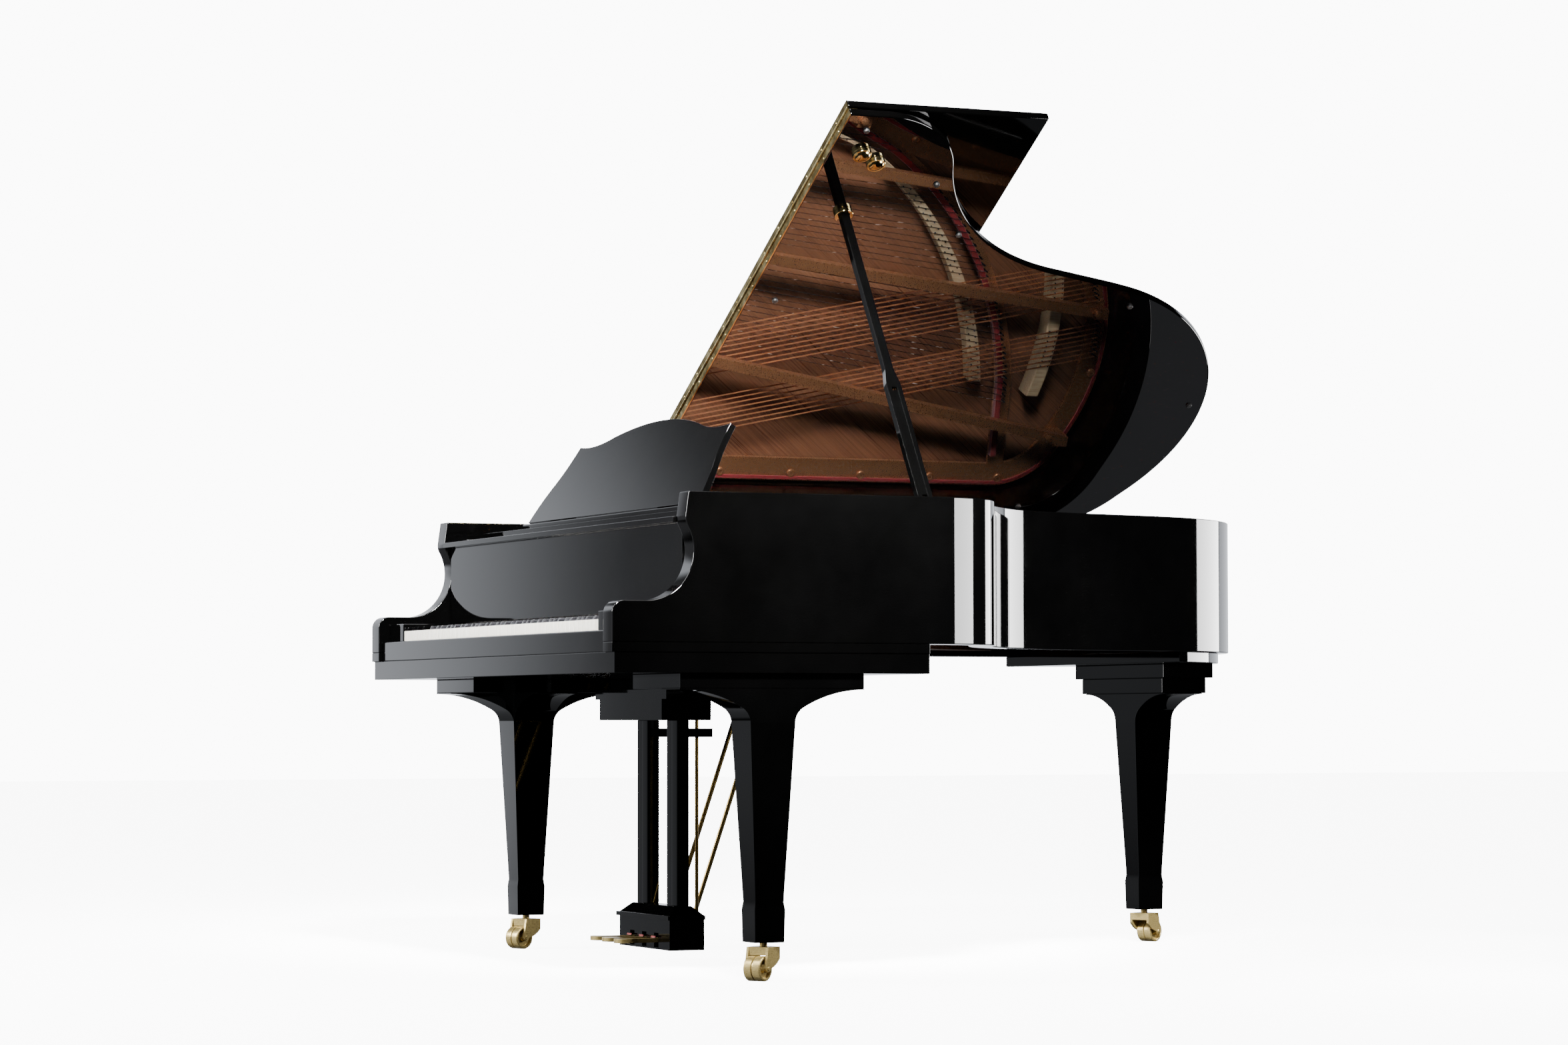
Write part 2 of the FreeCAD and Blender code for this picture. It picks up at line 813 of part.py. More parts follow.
def cheek_profile():
    """Return the loop above the scrolled arms that is cut away from the rim."""
    arm_top = S.rim_bottom + S.arm_height
    over = S.cut_over
    scroll_back = S.arm_flat + S.scroll_radius * cosine(S.scroll_turn)
    scroll_up = arm_top + S.scroll_radius + S.scroll_radius * sine(S.scroll_turn)
    lip_back = scroll_back + S.lip_radius * (cosine(S.scroll_turn) - cosine(S.lip_lean))
    lip_up = scroll_up + S.lip_radius * (sine(S.scroll_turn) + sine(S.lip_lean))
    top = RIM_TOP + over
    top_back = lip_back + (top - lip_up) * sine(S.lip_lean) / cosine(S.lip_lean)
    return [
        (-over, arm_top - S.arm_corner),
        (0, arm_top - S.arm_corner),
        (S.arm_corner, arm_top, -S.arm_corner),
        (S.arm_flat, arm_top),
        (scroll_back, scroll_up, S.scroll_radius),
        (lip_back, lip_up, -S.lip_radius),
        (top_back, top),
        (-over, top),
    ]


def make_rims():
    """Make the outer rim with its arms, and the ledge inside it."""
    over = S.cut_over
    block = slab("rim_block", 0, 0, S.rim_bottom, RIM_TOP)
    hollow = slab("rim_hollow", S.rim_wall, -S.rim_wall, S.rim_bottom - over, RIM_TOP + over)
    cheeks = prism_x("cheek_cut", cheek_profile(), -HALF - over, HALF + over)
    reach = INNER_HALF + S.pivot_depth + S.side_fit
    bore = rod_x("pivot_bore", S.pivot_radius + S.running_fit, -reach, reach, PIVOT_BACK, PIVOT_UP)
    node(cut("outer_rim", block, [hollow, cheeks, bore]), "outer_rim")
    ledge = slab("ledge_block", LEDGE_INSET, BELLY_BACK, S.ledge_bottom, S.board_bottom)
    inside = slab("ledge_hollow", LEDGE_INSET + S.ledge_width, BELLY_BACK - over,
                  S.ledge_bottom - over, S.board_bottom + over)
    node(cut("inner_rim", ledge, [inside]), "inner_rim")


def make_keybed():
    """Make the keybed, the slip before the keys, the key blocks and the key frame."""
    bed = HALF - S.bed_inset
    band = HALF - S.band_inset
    board = box("bed_board", (-bed, bed), (S.bed_front, S.bed_back), (BED_BOTTOM, BED_TOP))
    heights = (BED_TOP, S.rim_bottom)
    bands = [
        box("bed_band_left", (-band, -INNER_HALF), (0, S.bed_back), heights),
        box("bed_band_right", (INNER_HALF, band), (0, S.bed_back), heights),
    ]
    node(fuse("keybed", [board] + bands), "keybed")
    inner = INNER_HALF - S.side_fit
    slip_back = S.slip_front + S.slip_wall
    slip = box("key_slip", (-inner, inner), (S.slip_front, slip_back), (BED_TOP, BED_TOP + S.slip_height))
    node(slip, "key_slip")
    near = KEY_FIELD_HALF + S.key_front_gap
    depths = (S.slip_front + S.slip_wall, S.block_back)
    blocks = [
        box("block_left", (-inner, -near), depths, (BED_TOP, S.block_top)),
        box("block_right", (near, inner), depths, (BED_TOP, S.block_top)),
    ]
    node(group("key_blocks", blocks), "key_blocks")
    rail_top = BED_TOP + S.rail_height
    base = BED_TOP + S.frame_wall
    front_rail = BED_TOP + S.front_rail_height
    key_end = KEY_FRONT + S.white_length
    slope = S.rail_height - S.frame_wall
    profile = [
        (KEY_FRONT, BED_TOP),
        (key_end, BED_TOP),
        (key_end, rail_top),
        (key_end - S.back_rail_depth, rail_top),
        (key_end - S.back_rail_depth, base),
        (BALANCE + S.balance_half + slope / 3, base),
        (BALANCE + S.balance_half, rail_top),
        (BALANCE - S.balance_half, rail_top),
        (BALANCE - S.balance_half - slope / 3, base),
        (KEY_FRONT + S.front_rail_depth, base),
        (KEY_FRONT + S.front_rail_depth, front_rail),
        (KEY_FRONT, front_rail),
    ]
    node(prism_x("key_frame", profile, -KEY_FIELD_HALF, KEY_FIELD_HALF), "key_frame")


def make_structure():
    """Make the belly rail, the beams under the soundboard and the shelf with the tray's rails."""
    inner = INNER_HALF - S.side_fit
    belly = box("belly_rail", (-inner, inner), (BELLY_FRONT, BELLY_BACK), (BED_TOP, S.board_bottom))
    node(belly, "belly_rail")
    space = slab("beam_space", INSIDE_INSET, BELLY_BACK, S.beam_bottom, S.beam_top)
    beams = []
    for index, turn in enumerate((-S.beam_spread, as_size(0), S.beam_spread)):
        beam = DOC.addObject("Part::Box", "beam_%d" % index)
        beam.setExpression("Length", S.beam_width.text)
        beam.setExpression("Width", S.case_width.text)
        beam.setExpression("Height", (S.beam_top - S.beam_bottom).text)
        start = S.beam_width * (index - 1.5)
        beams.append(place(beam, start, BELLY_FRONT, S.beam_bottom, (0, 0, -1), turn))
    node(shared("case_beams", space, fuse("beam_fan", beams)), "case_beams")
    shelf_back = S.shelf_front + S.shelf_depth
    shelf = box("shelf_board", (-inner, inner), (S.shelf_front, shelf_back),
                (S.shelf_top - S.shelf_wall, S.shelf_top))
    depths = (S.shelf_front, S.shelf_front + S.rail_length)
    heights = (S.tray_bottom - S.rail_wall, S.tray_bottom)
    near = TRAY_HALF - S.tray_bearing
    rails = [
        box("tray_rail_left", (-inner, -near), depths, heights),
        box("tray_rail_right", (near, inner), depths, heights),
    ]
    node(fuse("front_shelf", [shelf] + rails), "front_shelf")


def make_soundboard():
    """Make the soundboard, its ribs and the two bridges on it."""
    board = slab("soundboard", LEDGE_INSET + S.board_gap, BELLY_FRONT, S.board_bottom, BOARD_TOP)
    node(board, "soundboard")
    rib_bottom = S.board_bottom - S.rib_height
    space = slab("rib_space", INSIDE_INSET, BELLY_BACK + S.rib_gap, rib_bottom, S.board_bottom)
    ribs = []
    for index in range(12):
        rib = DOC.addObject("Part::Box", "rib_%d" % index)
        rib.setExpression("Length", (S.case_width * 2).text)
        rib.setExpression("Width", S.rib_width.text)
        rib.setExpression("Height", S.rib_height.text)
        start = S.rib_first + S.rib_pitch * index
        ribs.append(place(rib, -S.case_width, start, rib_bottom, (0, 0, 1), S.rib_angle))
    node(shared("soundboard_ribs", space, group("rib_bars", ribs)), "soundboard_ribs")
    long_bridge = prism_z("long_bridge", band_loop(LONG_BRIDGE, S.bridge_width), BOARD_TOP, BRIDGE_TOP)
    bass_loop = band_loop(BASS_BRIDGE, S.bridge_width)
    bass_bridge = prism_z("bass_bridge", bass_loop, BOARD_TOP, BRIDGE_TOP + S.bass_bridge_rise)
    node(group("bridges", [long_bridge, bass_bridge]), "bridges")


def band_loop(line, width):
    """Return a band of a width along a line of corners and arcs."""
    near = [tuple(corner) for corner in line]
    far = []
    for index in range(len(line) - 1, -1, -1):
        side, back = line[index][:2]
        corner = (side, width + back)
        after = line[index + 1] if index < len(line) - 1 else ()
        far.append(corner + ((-after[2],) if len(after) == 3 else ()))
    return far + near


def strut_sizes(name):
    """Return a strut's front side, back side and back place."""
    return S.named(name + "_front_side"), S.named(name + "_back_side"), S.named(name + "_back")


def make_plate():
    """Make the pin block and the cast iron plate with its web, holes and struts."""
    inner = INNER_HALF - S.side_fit
    block_bottom = S.plate_bottom - S.pin_block_height
    pin_block = box("pin_block", (-inner, inner), (S.pin_block_front, S.pin_block_back),
                    (block_bottom, S.plate_bottom))
    node(pin_block, "pin_block")
    over = S.cut_over
    low, high = S.plate_bottom - over, PLATE_TOP + over
    casting = slab("plate_casting", PLATE_INSET, S.plate_front, S.plate_bottom, PLATE_TOP)
    opening = slab("plate_opening", PLATE_INSET + S.plate_flange, S.plate_web_back, low, high)
    web = [
        (S.web_left, S.web_front),
        (HALF, S.web_front),
        (HALF, S.web_tip_back),
        (S.web_tip_left, S.web_tip_back),
    ]
    window = cut("plate_window", opening, [prism_z("treble_web", web, low - over, high + over)])
    holes = []
    for index in range(3):
        side = S.web_hole_side - S.web_hole_drift * index
        back = S.web_hole_back + S.web_hole_step * index
        radius = S.web_hole_radius - S.web_hole_shrink * index
        holes.append(rod("web_hole_%d" % index, radius, high - low, side, back, low))
    flat = cut("plate_flat", casting, [window] + holes)
    half = S.strut_width / 2
    top = S.strut_bottom + S.strut_wall
    rail = prism_z("hitch_rail", band_loop(HITCH_RAIL, S.hitch_rail_width), S.plate_bottom, PLATE_TOP)
    pieces = [flat, rail]
    for name in STRUTS:
        front_side, back_side, back = strut_sizes(name)
        front = S.strut_front
        loop = [
            (front_side - half, front),
            (front_side + half, front),
            (back_side + half, back),
            (back_side - half, back),
        ]
        pieces.append(prism_z(name, loop, S.strut_bottom, top))
        pieces.append(box(name + "_front_foot", (front_side - half, front_side + half),
                          (front, front + S.strut_foot), (PLATE_TOP, top)))
        pieces.append(box(name + "_back_foot", (back_side - half, back_side + half),
                          (back - S.strut_foot, back), (PLATE_TOP, top)))
    node(fuse("iron_plate", pieces), "iron_plate")


# Strings

def hitch_wire():
    """Return the line of hitch pins on the plate's flange."""
    shapes = outline_shapes(S.hitch_inset, S.plate_front, as_size(0))
    return Part.Wire([shape.toShape() for shape, first, last in shapes])


def rail_wire():
    """Return the line of hitch pins along the middle of the plate's hitch rail."""
    edges = []
    half = S.hitch_rail_width.value / 2
    for here, there in zip(HITCH_RAIL, HITCH_RAIL[1:]):
        start = FreeCAD.Vector(here[0], here[1] + half, 0)
        end = FreeCAD.Vector(there[0], there[1] + half, 0)
        if len(there) == 3:
            edges.append(arc_between(start, end, there[2]).toShape())
        else:
            edges.append(Part.LineSegment(start, end).toShape())
    return Part.Wire(edges)


def strut_clear(side, back, lean):
    """Say whether a string that starts at a place misses every foot of the struts."""
    room = S.strut_width.value / 2 + S.wound_radius.value * 2
    for name in STRUTS:
        front_side, back_side, far = [size.value for size in strut_sizes(name)]
        foot = S.strut_foot.value
        front = S.strut_front.value
        for place_side, low in ((front_side, front), (back_side, far - foot)):
            for at in (low - room, low + foot / 2, low + foot + room):
                if abs(side + (at - back) * lean - place_side) < room:
                    return False
    return True


def string_runs():
    """Return each string as (start, end, radius): the plain ones, then the wound ones."""
    wire = hitch_wire()
    rail = rail_wire()
    start_back = S.plate_web_back.value
    plain, wound = [], []
    sets = (
        (plain, S.plain_left, S.plain_count, -S.plain_lean, PLAIN_UP, S.string_radius),
        (wound, S.wound_left, S.wound_count, S.wound_lean, WOUND_UP, S.wound_radius),
    )
    for runs, left, count, tilt, up, radius in sets:
        total = int(count.value)
        for index in range(total):
            share = index / (total - 1)
            fade = 1 - share if tilt.value < 0 else 1
            lean = math.tan(math.radians(tilt.value * fade))
            side = left.value + S.string_pitch.value * index
            if not strut_clear(side, start_back, lean):
                continue
            row = S.tuning_pin_front.value + S.tuning_row_pitch.value * (index % 4)
            pin_side = side + (row - start_back) * lean
            start = FreeCAD.Vector(pin_side, row, up.value)
            reach = 2 * S.case_width.value
            ray = Part.LineSegment(
                FreeCAD.Vector(side, start_back, 0),
                FreeCAD.Vector(side + reach * lean, start_back + reach, 0),
            ).toShape()
            near, meets = rail.distToShape(ray)[:2]
            if runs is wound or near > S.string_gap.value:
                meets = wire.distToShape(ray)[1]
            hit = max((pair[0] for pair in meets), key=lambda point: point.y)
            runs.append((start, FreeCAD.Vector(hit.x, hit.y, up.value), radius.value))
    return plain, wound


def wire_solid(start, end, radius):
    """Return a six-sided wire between two places."""
    along = end - start
    frame = FreeCAD.Rotation(FreeCAD.Vector(0, 0, 1), along)
    corners = []
    for step in range(7):
        angle = math.pi * step / 3
        corner = FreeCAD.Vector(radius * math.cos(angle), radius * math.sin(angle), 0)
        corners.append(start + frame.multVec(corner))
    return Part.Face(Part.makePolygon(corners)).extrude(along)


def make_strings():
    """Make the strings, their tuning pins and the dampers on them."""
    plain, wound = string_runs()
    width = S.tuning_pin_width.value
    gap = S.string_gap.value + width / 2
    pins, dampers = [], []
    for label, runs in (("plain_strings", plain), ("wound_strings", wound)):
        wires = []
        for start, end, radius in runs:
            along = (end - start).normalize()
            wires.append(wire_solid(start + along * gap, end, radius))
            corner = FreeCAD.Vector(start.x - width / 2, start.y - width / 2, PLATE_TOP.value)
            pins.append(Part.makeBox(width, width, S.tuning_pin_height.value, corner))
            at = start + along * ((S.damper_front.value - start.y) / along.y)
            damper_end = S.damper_front.value + S.damper_length.value
            if end.y < damper_end + S.damper_length.value or near_strut(at.x):
                continue
            rise = radius + S.string_gap.value
            corner = FreeCAD.Vector(at.x - S.damper_width.value / 2, at.y, at.z + rise)
            dampers.append(Part.makeBox(S.damper_width.value, S.damper_length.value,
                                        S.damper_height.value, corner))
        node(group_of_shapes(label, wires), label)
    node(group_of_shapes("tuning_pins", pins), "tuning_pins")
    node(group_of_shapes("dampers", dampers), "dampers")


def near_strut(side):
    """Say whether a damper at a place along X would rise into a strut."""
    for name in STRUTS:
        front_side, back_side, far = [size.value for size in strut_sizes(name)]
        share = (S.damper_front.value - S.strut_front.value) / (far - S.strut_front.value)
        strut = front_side + (back_side - front_side) * share
        if abs(side - strut) < S.strut_width.value / 2 + S.damper_width.value * 2:
            return True
    return False


def make_action():
    """Make the action rail on its stands with one hammer for each key."""
    depths = (S.action_front, S.action_front + S.action_depth)
    top = S.action_bottom + S.action_wall
    half = ACTION_HALF
    pieces = [box("action_rail", (-half, half), depths, (S.action_bottom, top))]
    for index in range(4):
        left = -half + (half * 2 - S.stand_width) * index / 3
        pieces.append(box("action_stand_%d" % index, (left, left + S.stand_width), depths,
                          (BED_TOP, S.action_bottom)))
    rack = fuse("action_frame", pieces)
    hammers = []
    count = 88
    pitch = (half.value * 2 - S.hammer_width.value) / (count - 1)
    back = S.hammer_front.value + S.hammer_depth.value
    shank = S.shank_wall.value
    for index in range(count):
        left = -half.value + pitch * index
        corners = [
            (depths[0].value, top.value),
            (back, top.value),
            (back, S.hammer_top.value),
            (S.hammer_front.value, S.hammer_top.value),
            (S.hammer_front.value, top.value + shank),
            (depths[0].value, top.value + shank),
        ]
        points = [FreeCAD.Vector(left, *corner) for corner in corners + corners[:1]]
        side = FreeCAD.Vector(S.hammer_width.value, 0, 0)
        hammers.append(Part.Face(Part.makePolygon(points)).extrude(side))
    node(group("action_rack", [rack, group_of_shapes("hammers", hammers)]), "action_rack")


# Keyboard

def black_place(index):
    """Return the centre of the black key after a white key, or None where there is none."""
    note = WHITE_NOTES[index % 7]
    if note not in BLACK_OFFSETS or index == WHITE_COUNT - 1:
        return None
    joint = -KEY_FIELD_HALF.value + KEY_PITCH.value * (index + 1)
    return joint + BLACK_OFFSETS[note] * S.black_width.value


def white_key(index):
    """Return one white key, notched beside its black neighbours."""
    gap = S.key_gap.value
    left = -KEY_FIELD_HALF.value + KEY_PITCH.value * index + gap / 2
    right = left + KEY_PITCH.value - gap
    front, back = KEY_FRONT.value, KEY_FRONT.value + S.white_length.value
    notch = front + S.white_head.value
    clear = S.black_width.value / 2 + gap
    before = black_place(index - 1) if index else None
    after = black_place(index)
    tail_left = left if before is None else before + clear
    tail_right = right if after is None else after - clear
    corners = [(left, front), (right, front)]
    if after is not None:
        corners += [(right, notch), (tail_right, notch)]
    corners += [(tail_right, back), (tail_left, back)]
    if before is not None:
        corners += [(tail_left, notch), (left, notch)]
    points = [FreeCAD.Vector(x, y, KEY_BOTTOM.value) for x, y in corners + corners[:1]]
    return Part.Face(Part.makePolygon(points)).extrude(FreeCAD.Vector(0, 0, S.key_height.value))


def black_key(centre):
    """Return one black key with a sloping front."""
    half = S.black_width.value / 2
    notch = KEY_FRONT.value + S.white_head.value + S.black_front_gap.value
    back = KEY_FRONT.value + S.white_length.value
    rise = S.black_height.value
    low, mid = KEY_BOTTOM.value, KEY_TOP.value
    top_end = notch + S.black_top_length.value
    corners = [
        (notch, low), (back, low), (back, mid), (top_end, mid),
        (top_end, mid + rise), (notch + rise / 2, mid + rise), (notch, mid),
    ]
    points = [FreeCAD.Vector(centre - half, y, z) for y, z in corners + corners[:1]]
    return Part.Face(Part.makePolygon(points)).extrude(FreeCAD.Vector(S.black_width.value, 0, 0))


def make_keys():
    """Make the white keys in a group for each note, and the black keys."""
    groups = {note: [] for note in WHITE_NOTES}
    blacks = []
    for index in range(WHITE_COUNT):
        groups[WHITE_NOTES[index % 7]].append(white_key(index))
        centre = black_place(index)
        if centre is not None:
            blacks.append(black_key(centre))
    for note, keys in groups.items():
        label = "white_keys_" + note
        node(group_of_shapes(label, keys), label)
    node(group_of_shapes("black_keys", blacks), "black_keys")


def make_fallboard():
    """Make the fallboard with its lip and its two pivot pins."""
    front, top = S.fallboard_front, S.fallboard_top
    back = front + S.fallboard_wall
    lip_top = top + S.fallboard_lip_wall
    profile = [
        (front, S.fallboard_bottom),
        (back, S.fallboard_bottom),
        (back, lip_top),
        (front - S.fallboard_lip, lip_top),
        (front - S.fallboard_lip, top),
        (front, top),
    ]
    half = INNER_HALF - S.fallboard_gap
    board = prism_x("fallboard_board", profile, -half, half)
    end = INNER_HALF + S.pivot_depth
    pins = [
        rod_x("pivot_left", S.pivot_radius, -end, -half + S.pivot_depth, PIVOT_BACK, PIVOT_UP),
        rod_x("pivot_right", S.pivot_radius, half - S.pivot_depth, end, PIVOT_BACK, PIVOT_UP),
    ]
    node(fuse("fallboard", [board] + pins), "fallboard")


# Music desk

def desk_barrels(label, radius, spans):
    """Make hinge barrels along the desk's axis over spans of X."""
    barrels = []
    for index, (left, right) in enumerate(spans):
        name = "%s_%d" % (label, index)
        barrels.append(rod_x(name, radius, left, right, S.desk_hinge_back, DESK_UP))
    return barrels


def desk_arm(label, span, low, high):
    """Make an arm behind the desk's panel, from its back face to the hinge's plane."""
    arm = DOC.addObject("Part::Box", label)
    left, right = numbers(span)
    arm.setExpression("Length", (right - left).text)
    arm.setExpression("Width", S.desk_offset.text)
    arm.setExpression("Height", (high - low).text)
    lean_cos, lean_sin = cosine(S.desk_lean), sine(S.desk_lean)
    back = S.desk_hinge_back - S.desk_offset * lean_cos + low * lean_sin
    up = DESK_UP + S.desk_offset * lean_sin + low * lean_cos
    return place(arm, left, back, up, (-1, 0, 0), S.desk_lean)


def mirrored_spans(left, right):
    """Return a span of X and its mirror."""
    return [(left, right), (-right, -left)]


def make_desk():
    """Make the sliding tray, the music desk that tilts on it and the brace behind the desk."""
    tray_back = S.tray_front + S.tray_depth
    depths = (S.tray_front, tray_back)
    tray = box("tray_board", (-TRAY_HALF, TRAY_HALF), depths, (S.tray_bottom, TRAY_TOP))
    near = S.desk_barrel_side
    far = near + S.desk_barrel_length
    gap = S.hinge_gap
    ear = S.desk_barrel * 4
    ears = mirrored_spans(near - gap - ear, near - gap) + mirrored_spans(far + gap, far + gap + ear)
    lugs = []
    reach = S.desk_barrel
    for index, (left, right) in enumerate(ears):
        depths = (S.desk_hinge_back - reach, S.desk_hinge_back + reach)
        lugs.append(box("desk_lug_%d" % index, (left, right), depths, (TRAY_TOP, DESK_UP)))
    lugs += desk_barrels("tray_barrel", S.desk_barrel, ears)
    lugs += desk_barrels("desk_hinge_pin", S.desk_pin, mirrored_spans(near - gap, far + gap))
    node(fuse("desk_tray", [tray] + lugs), "desk_tray")

    low, waist, top = S.desk_low_half, S.desk_waist_half, S.desk_top_half
    hump = S.desk_hump_half
    side, shoulder = S.desk_side_radius, S.desk_shoulder_radius
    outline = [
        (-low, S.desk_foot, side),
        (low, S.desk_foot),
        (waist, S.desk_waist_up, side),
        (top, S.desk_corner_up, -side),
        (hump, S.desk_hump_up, -shoulder),
        (-hump, S.desk_hump_up, S.desk_hump_radius),
        (-top, S.desk_corner_up, -shoulder),
        (-waist, S.desk_waist_up, -side),
    ]
    panel = prism_y("desk_panel", outline, -S.desk_offset - S.desk_wall, -S.desk_offset)
    lean = ((-1, 0, 0), S.desk_lean)
    place(panel, 0, S.desk_hinge_back, DESK_UP, *lean)
    pieces = [panel]
    bores = []
    for index, span in enumerate(mirrored_spans(near, far)):
        pieces.append(desk_arm("desk_arm_%d" % index, span, as_size(0), S.desk_barrel * 6))
    pieces += desk_barrels("desk_barrel", S.desk_barrel, mirrored_spans(near, far))
    bores += desk_barrels("desk_bore", S.desk_pin + S.running_fit, mirrored_spans(near - gap, far + gap))
    solid = fuse("desk_solid", pieces)
    pivot_back = S.desk_hinge_back + S.brace_reach * sine(S.desk_lean)
    pivot_up = DESK_UP + S.brace_reach * cosine(S.desk_lean)
    half = S.brace_width / 2
    ears = mirrored_spans(half + gap, half + gap + ear)
    brackets = []
    for index, (left, right) in enumerate(ears):
        brackets.append(rod_x("brace_ear_%d" % index, S.desk_offset, left, right, pivot_back, pivot_up))
        up = (S.brace_reach - S.desk_offset, S.brace_reach + S.desk_offset)
        brackets.append(desk_arm("brace_arm_%d" % index, (left, right), *up))
    pin_reach = half + gap
    brackets.append(rod_x("brace_pin", S.desk_pin, -pin_reach, pin_reach, pivot_back, pivot_up))
    node(cut("music_desk", fuse("desk_with_ears", [solid] + brackets), bores), "music_desk")

    brace = DOC.addObject("Part::Box", "brace_blade")
    brace.setExpression("Length", S.brace_width.text)
    brace.setExpression("Width", (S.brace_half * 2).text)
    brace.setExpression("Height", S.brace_reach.text)
    foot_back = S.desk_hinge_back + S.brace_reach * sine(S.desk_lean) * 2
    place(brace, -half, foot_back, DESK_UP, (1, 0, 0), S.desk_lean)
    brace.setExpression("Placement.Base.y", (FRONT + foot_back - S.brace_half * cosine(S.desk_lean)).text)
    brace.setExpression("Placement.Base.z", (DESK_UP - S.brace_half * sine(S.desk_lean)).text)
    foot = rod_x("brace_foot", S.desk_barrel, -half, half, foot_back, DESK_UP)
    eye = rod_x("brace_eye", S.desk_offset - S.desk_barrel_gap, -half, half, pivot_back, pivot_up)
    bore = rod_x("brace_bore", S.desk_pin + S.running_fit, -pin_reach, pin_reach, pivot_back, pivot_up)
    node(cut("desk_brace", fuse("brace_solid", [brace, foot, eye]), [bore]), "desk_brace")


# Lid and props

def hang(thing):
    """Turn a piece that was made about the lid's hinge axis to the open lid's angle."""
    return place(thing, HINGE_SIDE, 0, HINGE_UP, (0, -1, 0), S.lid_angle)


def lid_box(label, alongs, depths, heights):
    """Make a box in the lid's own frame, before it is hung."""
    left, right = numbers(alongs)
    front, back = numbers(depths)
    loop = [(left, front), (right, front), (right, back), (left, back)]
    return prism_z(label, loop, *heights)


def lid_rod(label, radius, along, back, heights):
    """Make a round boss square to the lid, before it is hung."""
    low, high = numbers(heights)
    along, back = numbers((along, back))
    body = DOC.addObject("PartDesign::Body", label)
    sketch = body.newObject("Sketcher::SketchObject", label + "_sketch")
    planes = {feature.Role: feature for feature in body.Origin.OriginFeatures}
    sketch.AttachmentSupport = (planes["XY_Plane"], [""])
    sketch.MapMode = "FlatFace"
    sketch.setExpression("AttachmentOffset.Base.z", low.text)
    centre = FreeCAD.Vector(along.value, back.value, 0)
    radius = as_size(radius)
    circle = sketch.addGeometry(Part.Circle(centre, FreeCAD.Vector(0, 0, 1), radius.value), False)
    tie(sketch, Sketcher.Constraint("DistanceX", -1, 1, circle, 3, along.value), along)
    tie(sketch, Sketcher.Constraint("DistanceY", -1, 1, circle, 3, back.value), back)
    tie(sketch, Sketcher.Constraint("Radius", circle, radius.value), radius)
    pad = body.newObject("PartDesign::Pad", label + "_pad")
    pad.Profile = sketch
    pad.setExpression("Length", (high - low).text)
    return body


def make_lid():
    """Make the main lid, the flap folded back on it and the continuous hinge between them."""
    main = slab("lid_main", -S.lid_overhang, LID_FRONT, 0, S.lid_wall, -HINGE_SIDE)
    node(hang(main), "lid_main")
    left = S.hinge_stand_off
    right = left + S.case_width + S.lid_overhang * 2
    low = S.lid_wall + S.flap_rise * 2
    front = FLAP_BACK + S.flap_gap / 2
    flap = lid_box("lid_flap", (left, right), (front, front + S.flap_depth), (low, low + S.lid_wall))
    node(hang(flap), "lid_flap")
    leaf_top = S.lid_wall + S.flap_leaf_wall
    leaf_depths = (FLAP_BACK, LID_FRONT + S.flap_leaf)
    leaf = lid_box("flap_leaf", (left, right), leaf_depths, (S.lid_wall, leaf_top))
    radius = S.flap_rise - S.side_fit
    knuckle = DOC.addObject("Part::Cylinder", "flap_barrel")
    knuckle.setExpression("Radius", radius.text)
    knuckle.setExpression("Height", (right - left).text)
    across = left * cosine(S.lid_angle) - FLAP_UP * sine(S.lid_angle)
    up = left * sine(S.lid_angle) + FLAP_UP * cosine(S.lid_angle)
    place(knuckle, HINGE_SIDE + across, FLAP_BACK, HINGE_UP + up, (0, 1, 0), 90 - S.lid_angle)
    node(fuse("flap_hinge", [hang(leaf), knuckle]), "flap_hinge")


def make_lid_hinges():
    """Make the three hinges along the spine: a leaf on the lid and a bracket on the rim for each."""
    length, gap = S.hinge_length, S.hinge_gap
    leaves, brackets = [], []
    wall_side = -(HALF + S.glue_line)
    for index in range(3):
        front = S.hinge_first + S.hinge_pitch * index
        back = front + length
        name = "lid_leaf_%d" % index
        plate = hang(lid_box(name, (0, S.hinge_stand_off), (front, back), (0, S.lid_wall)))
        barrel = rod_y(name + "_barrel", S.hinge_radius, front, back, HINGE_SIDE, HINGE_UP)
        eye = S.hinge_pin + S.running_fit
        bore = rod_y(name + "_bore", eye, front - gap, back + gap, HINGE_SIDE, HINGE_UP)
        leaves.append(cut(name + "_done", fuse(name + "_solid", [plate, barrel]), [bore]))
        name = "rim_bracket_%d" % index
        pieces = [rod_y(name + "_pin", S.hinge_pin, front - gap, back + gap, HINGE_SIDE, HINGE_UP)]
        ends = ((front - gap - length, front - gap), (back + gap, back + gap + length))
        for end, (near, far) in enumerate(ends):
            label = "%s_barrel_%d" % (name, end)
            pieces.append(rod_y(label, S.hinge_radius, near, far, HINGE_SIDE, HINGE_UP))
            pieces.append(box("%s_arm_%d" % (name, end), (HINGE_SIDE, wall_side), (near, far),
                              (HINGE_UP - S.hinge_arm, HINGE_UP - S.hinge_pin)))
        brackets.append(fuse(name, pieces))
    node(group("lid_hinge_leaves", leaves), "lid_hinge_leaves")
    node(group("rim_hinge_brackets", brackets), "rim_hinge_brackets")


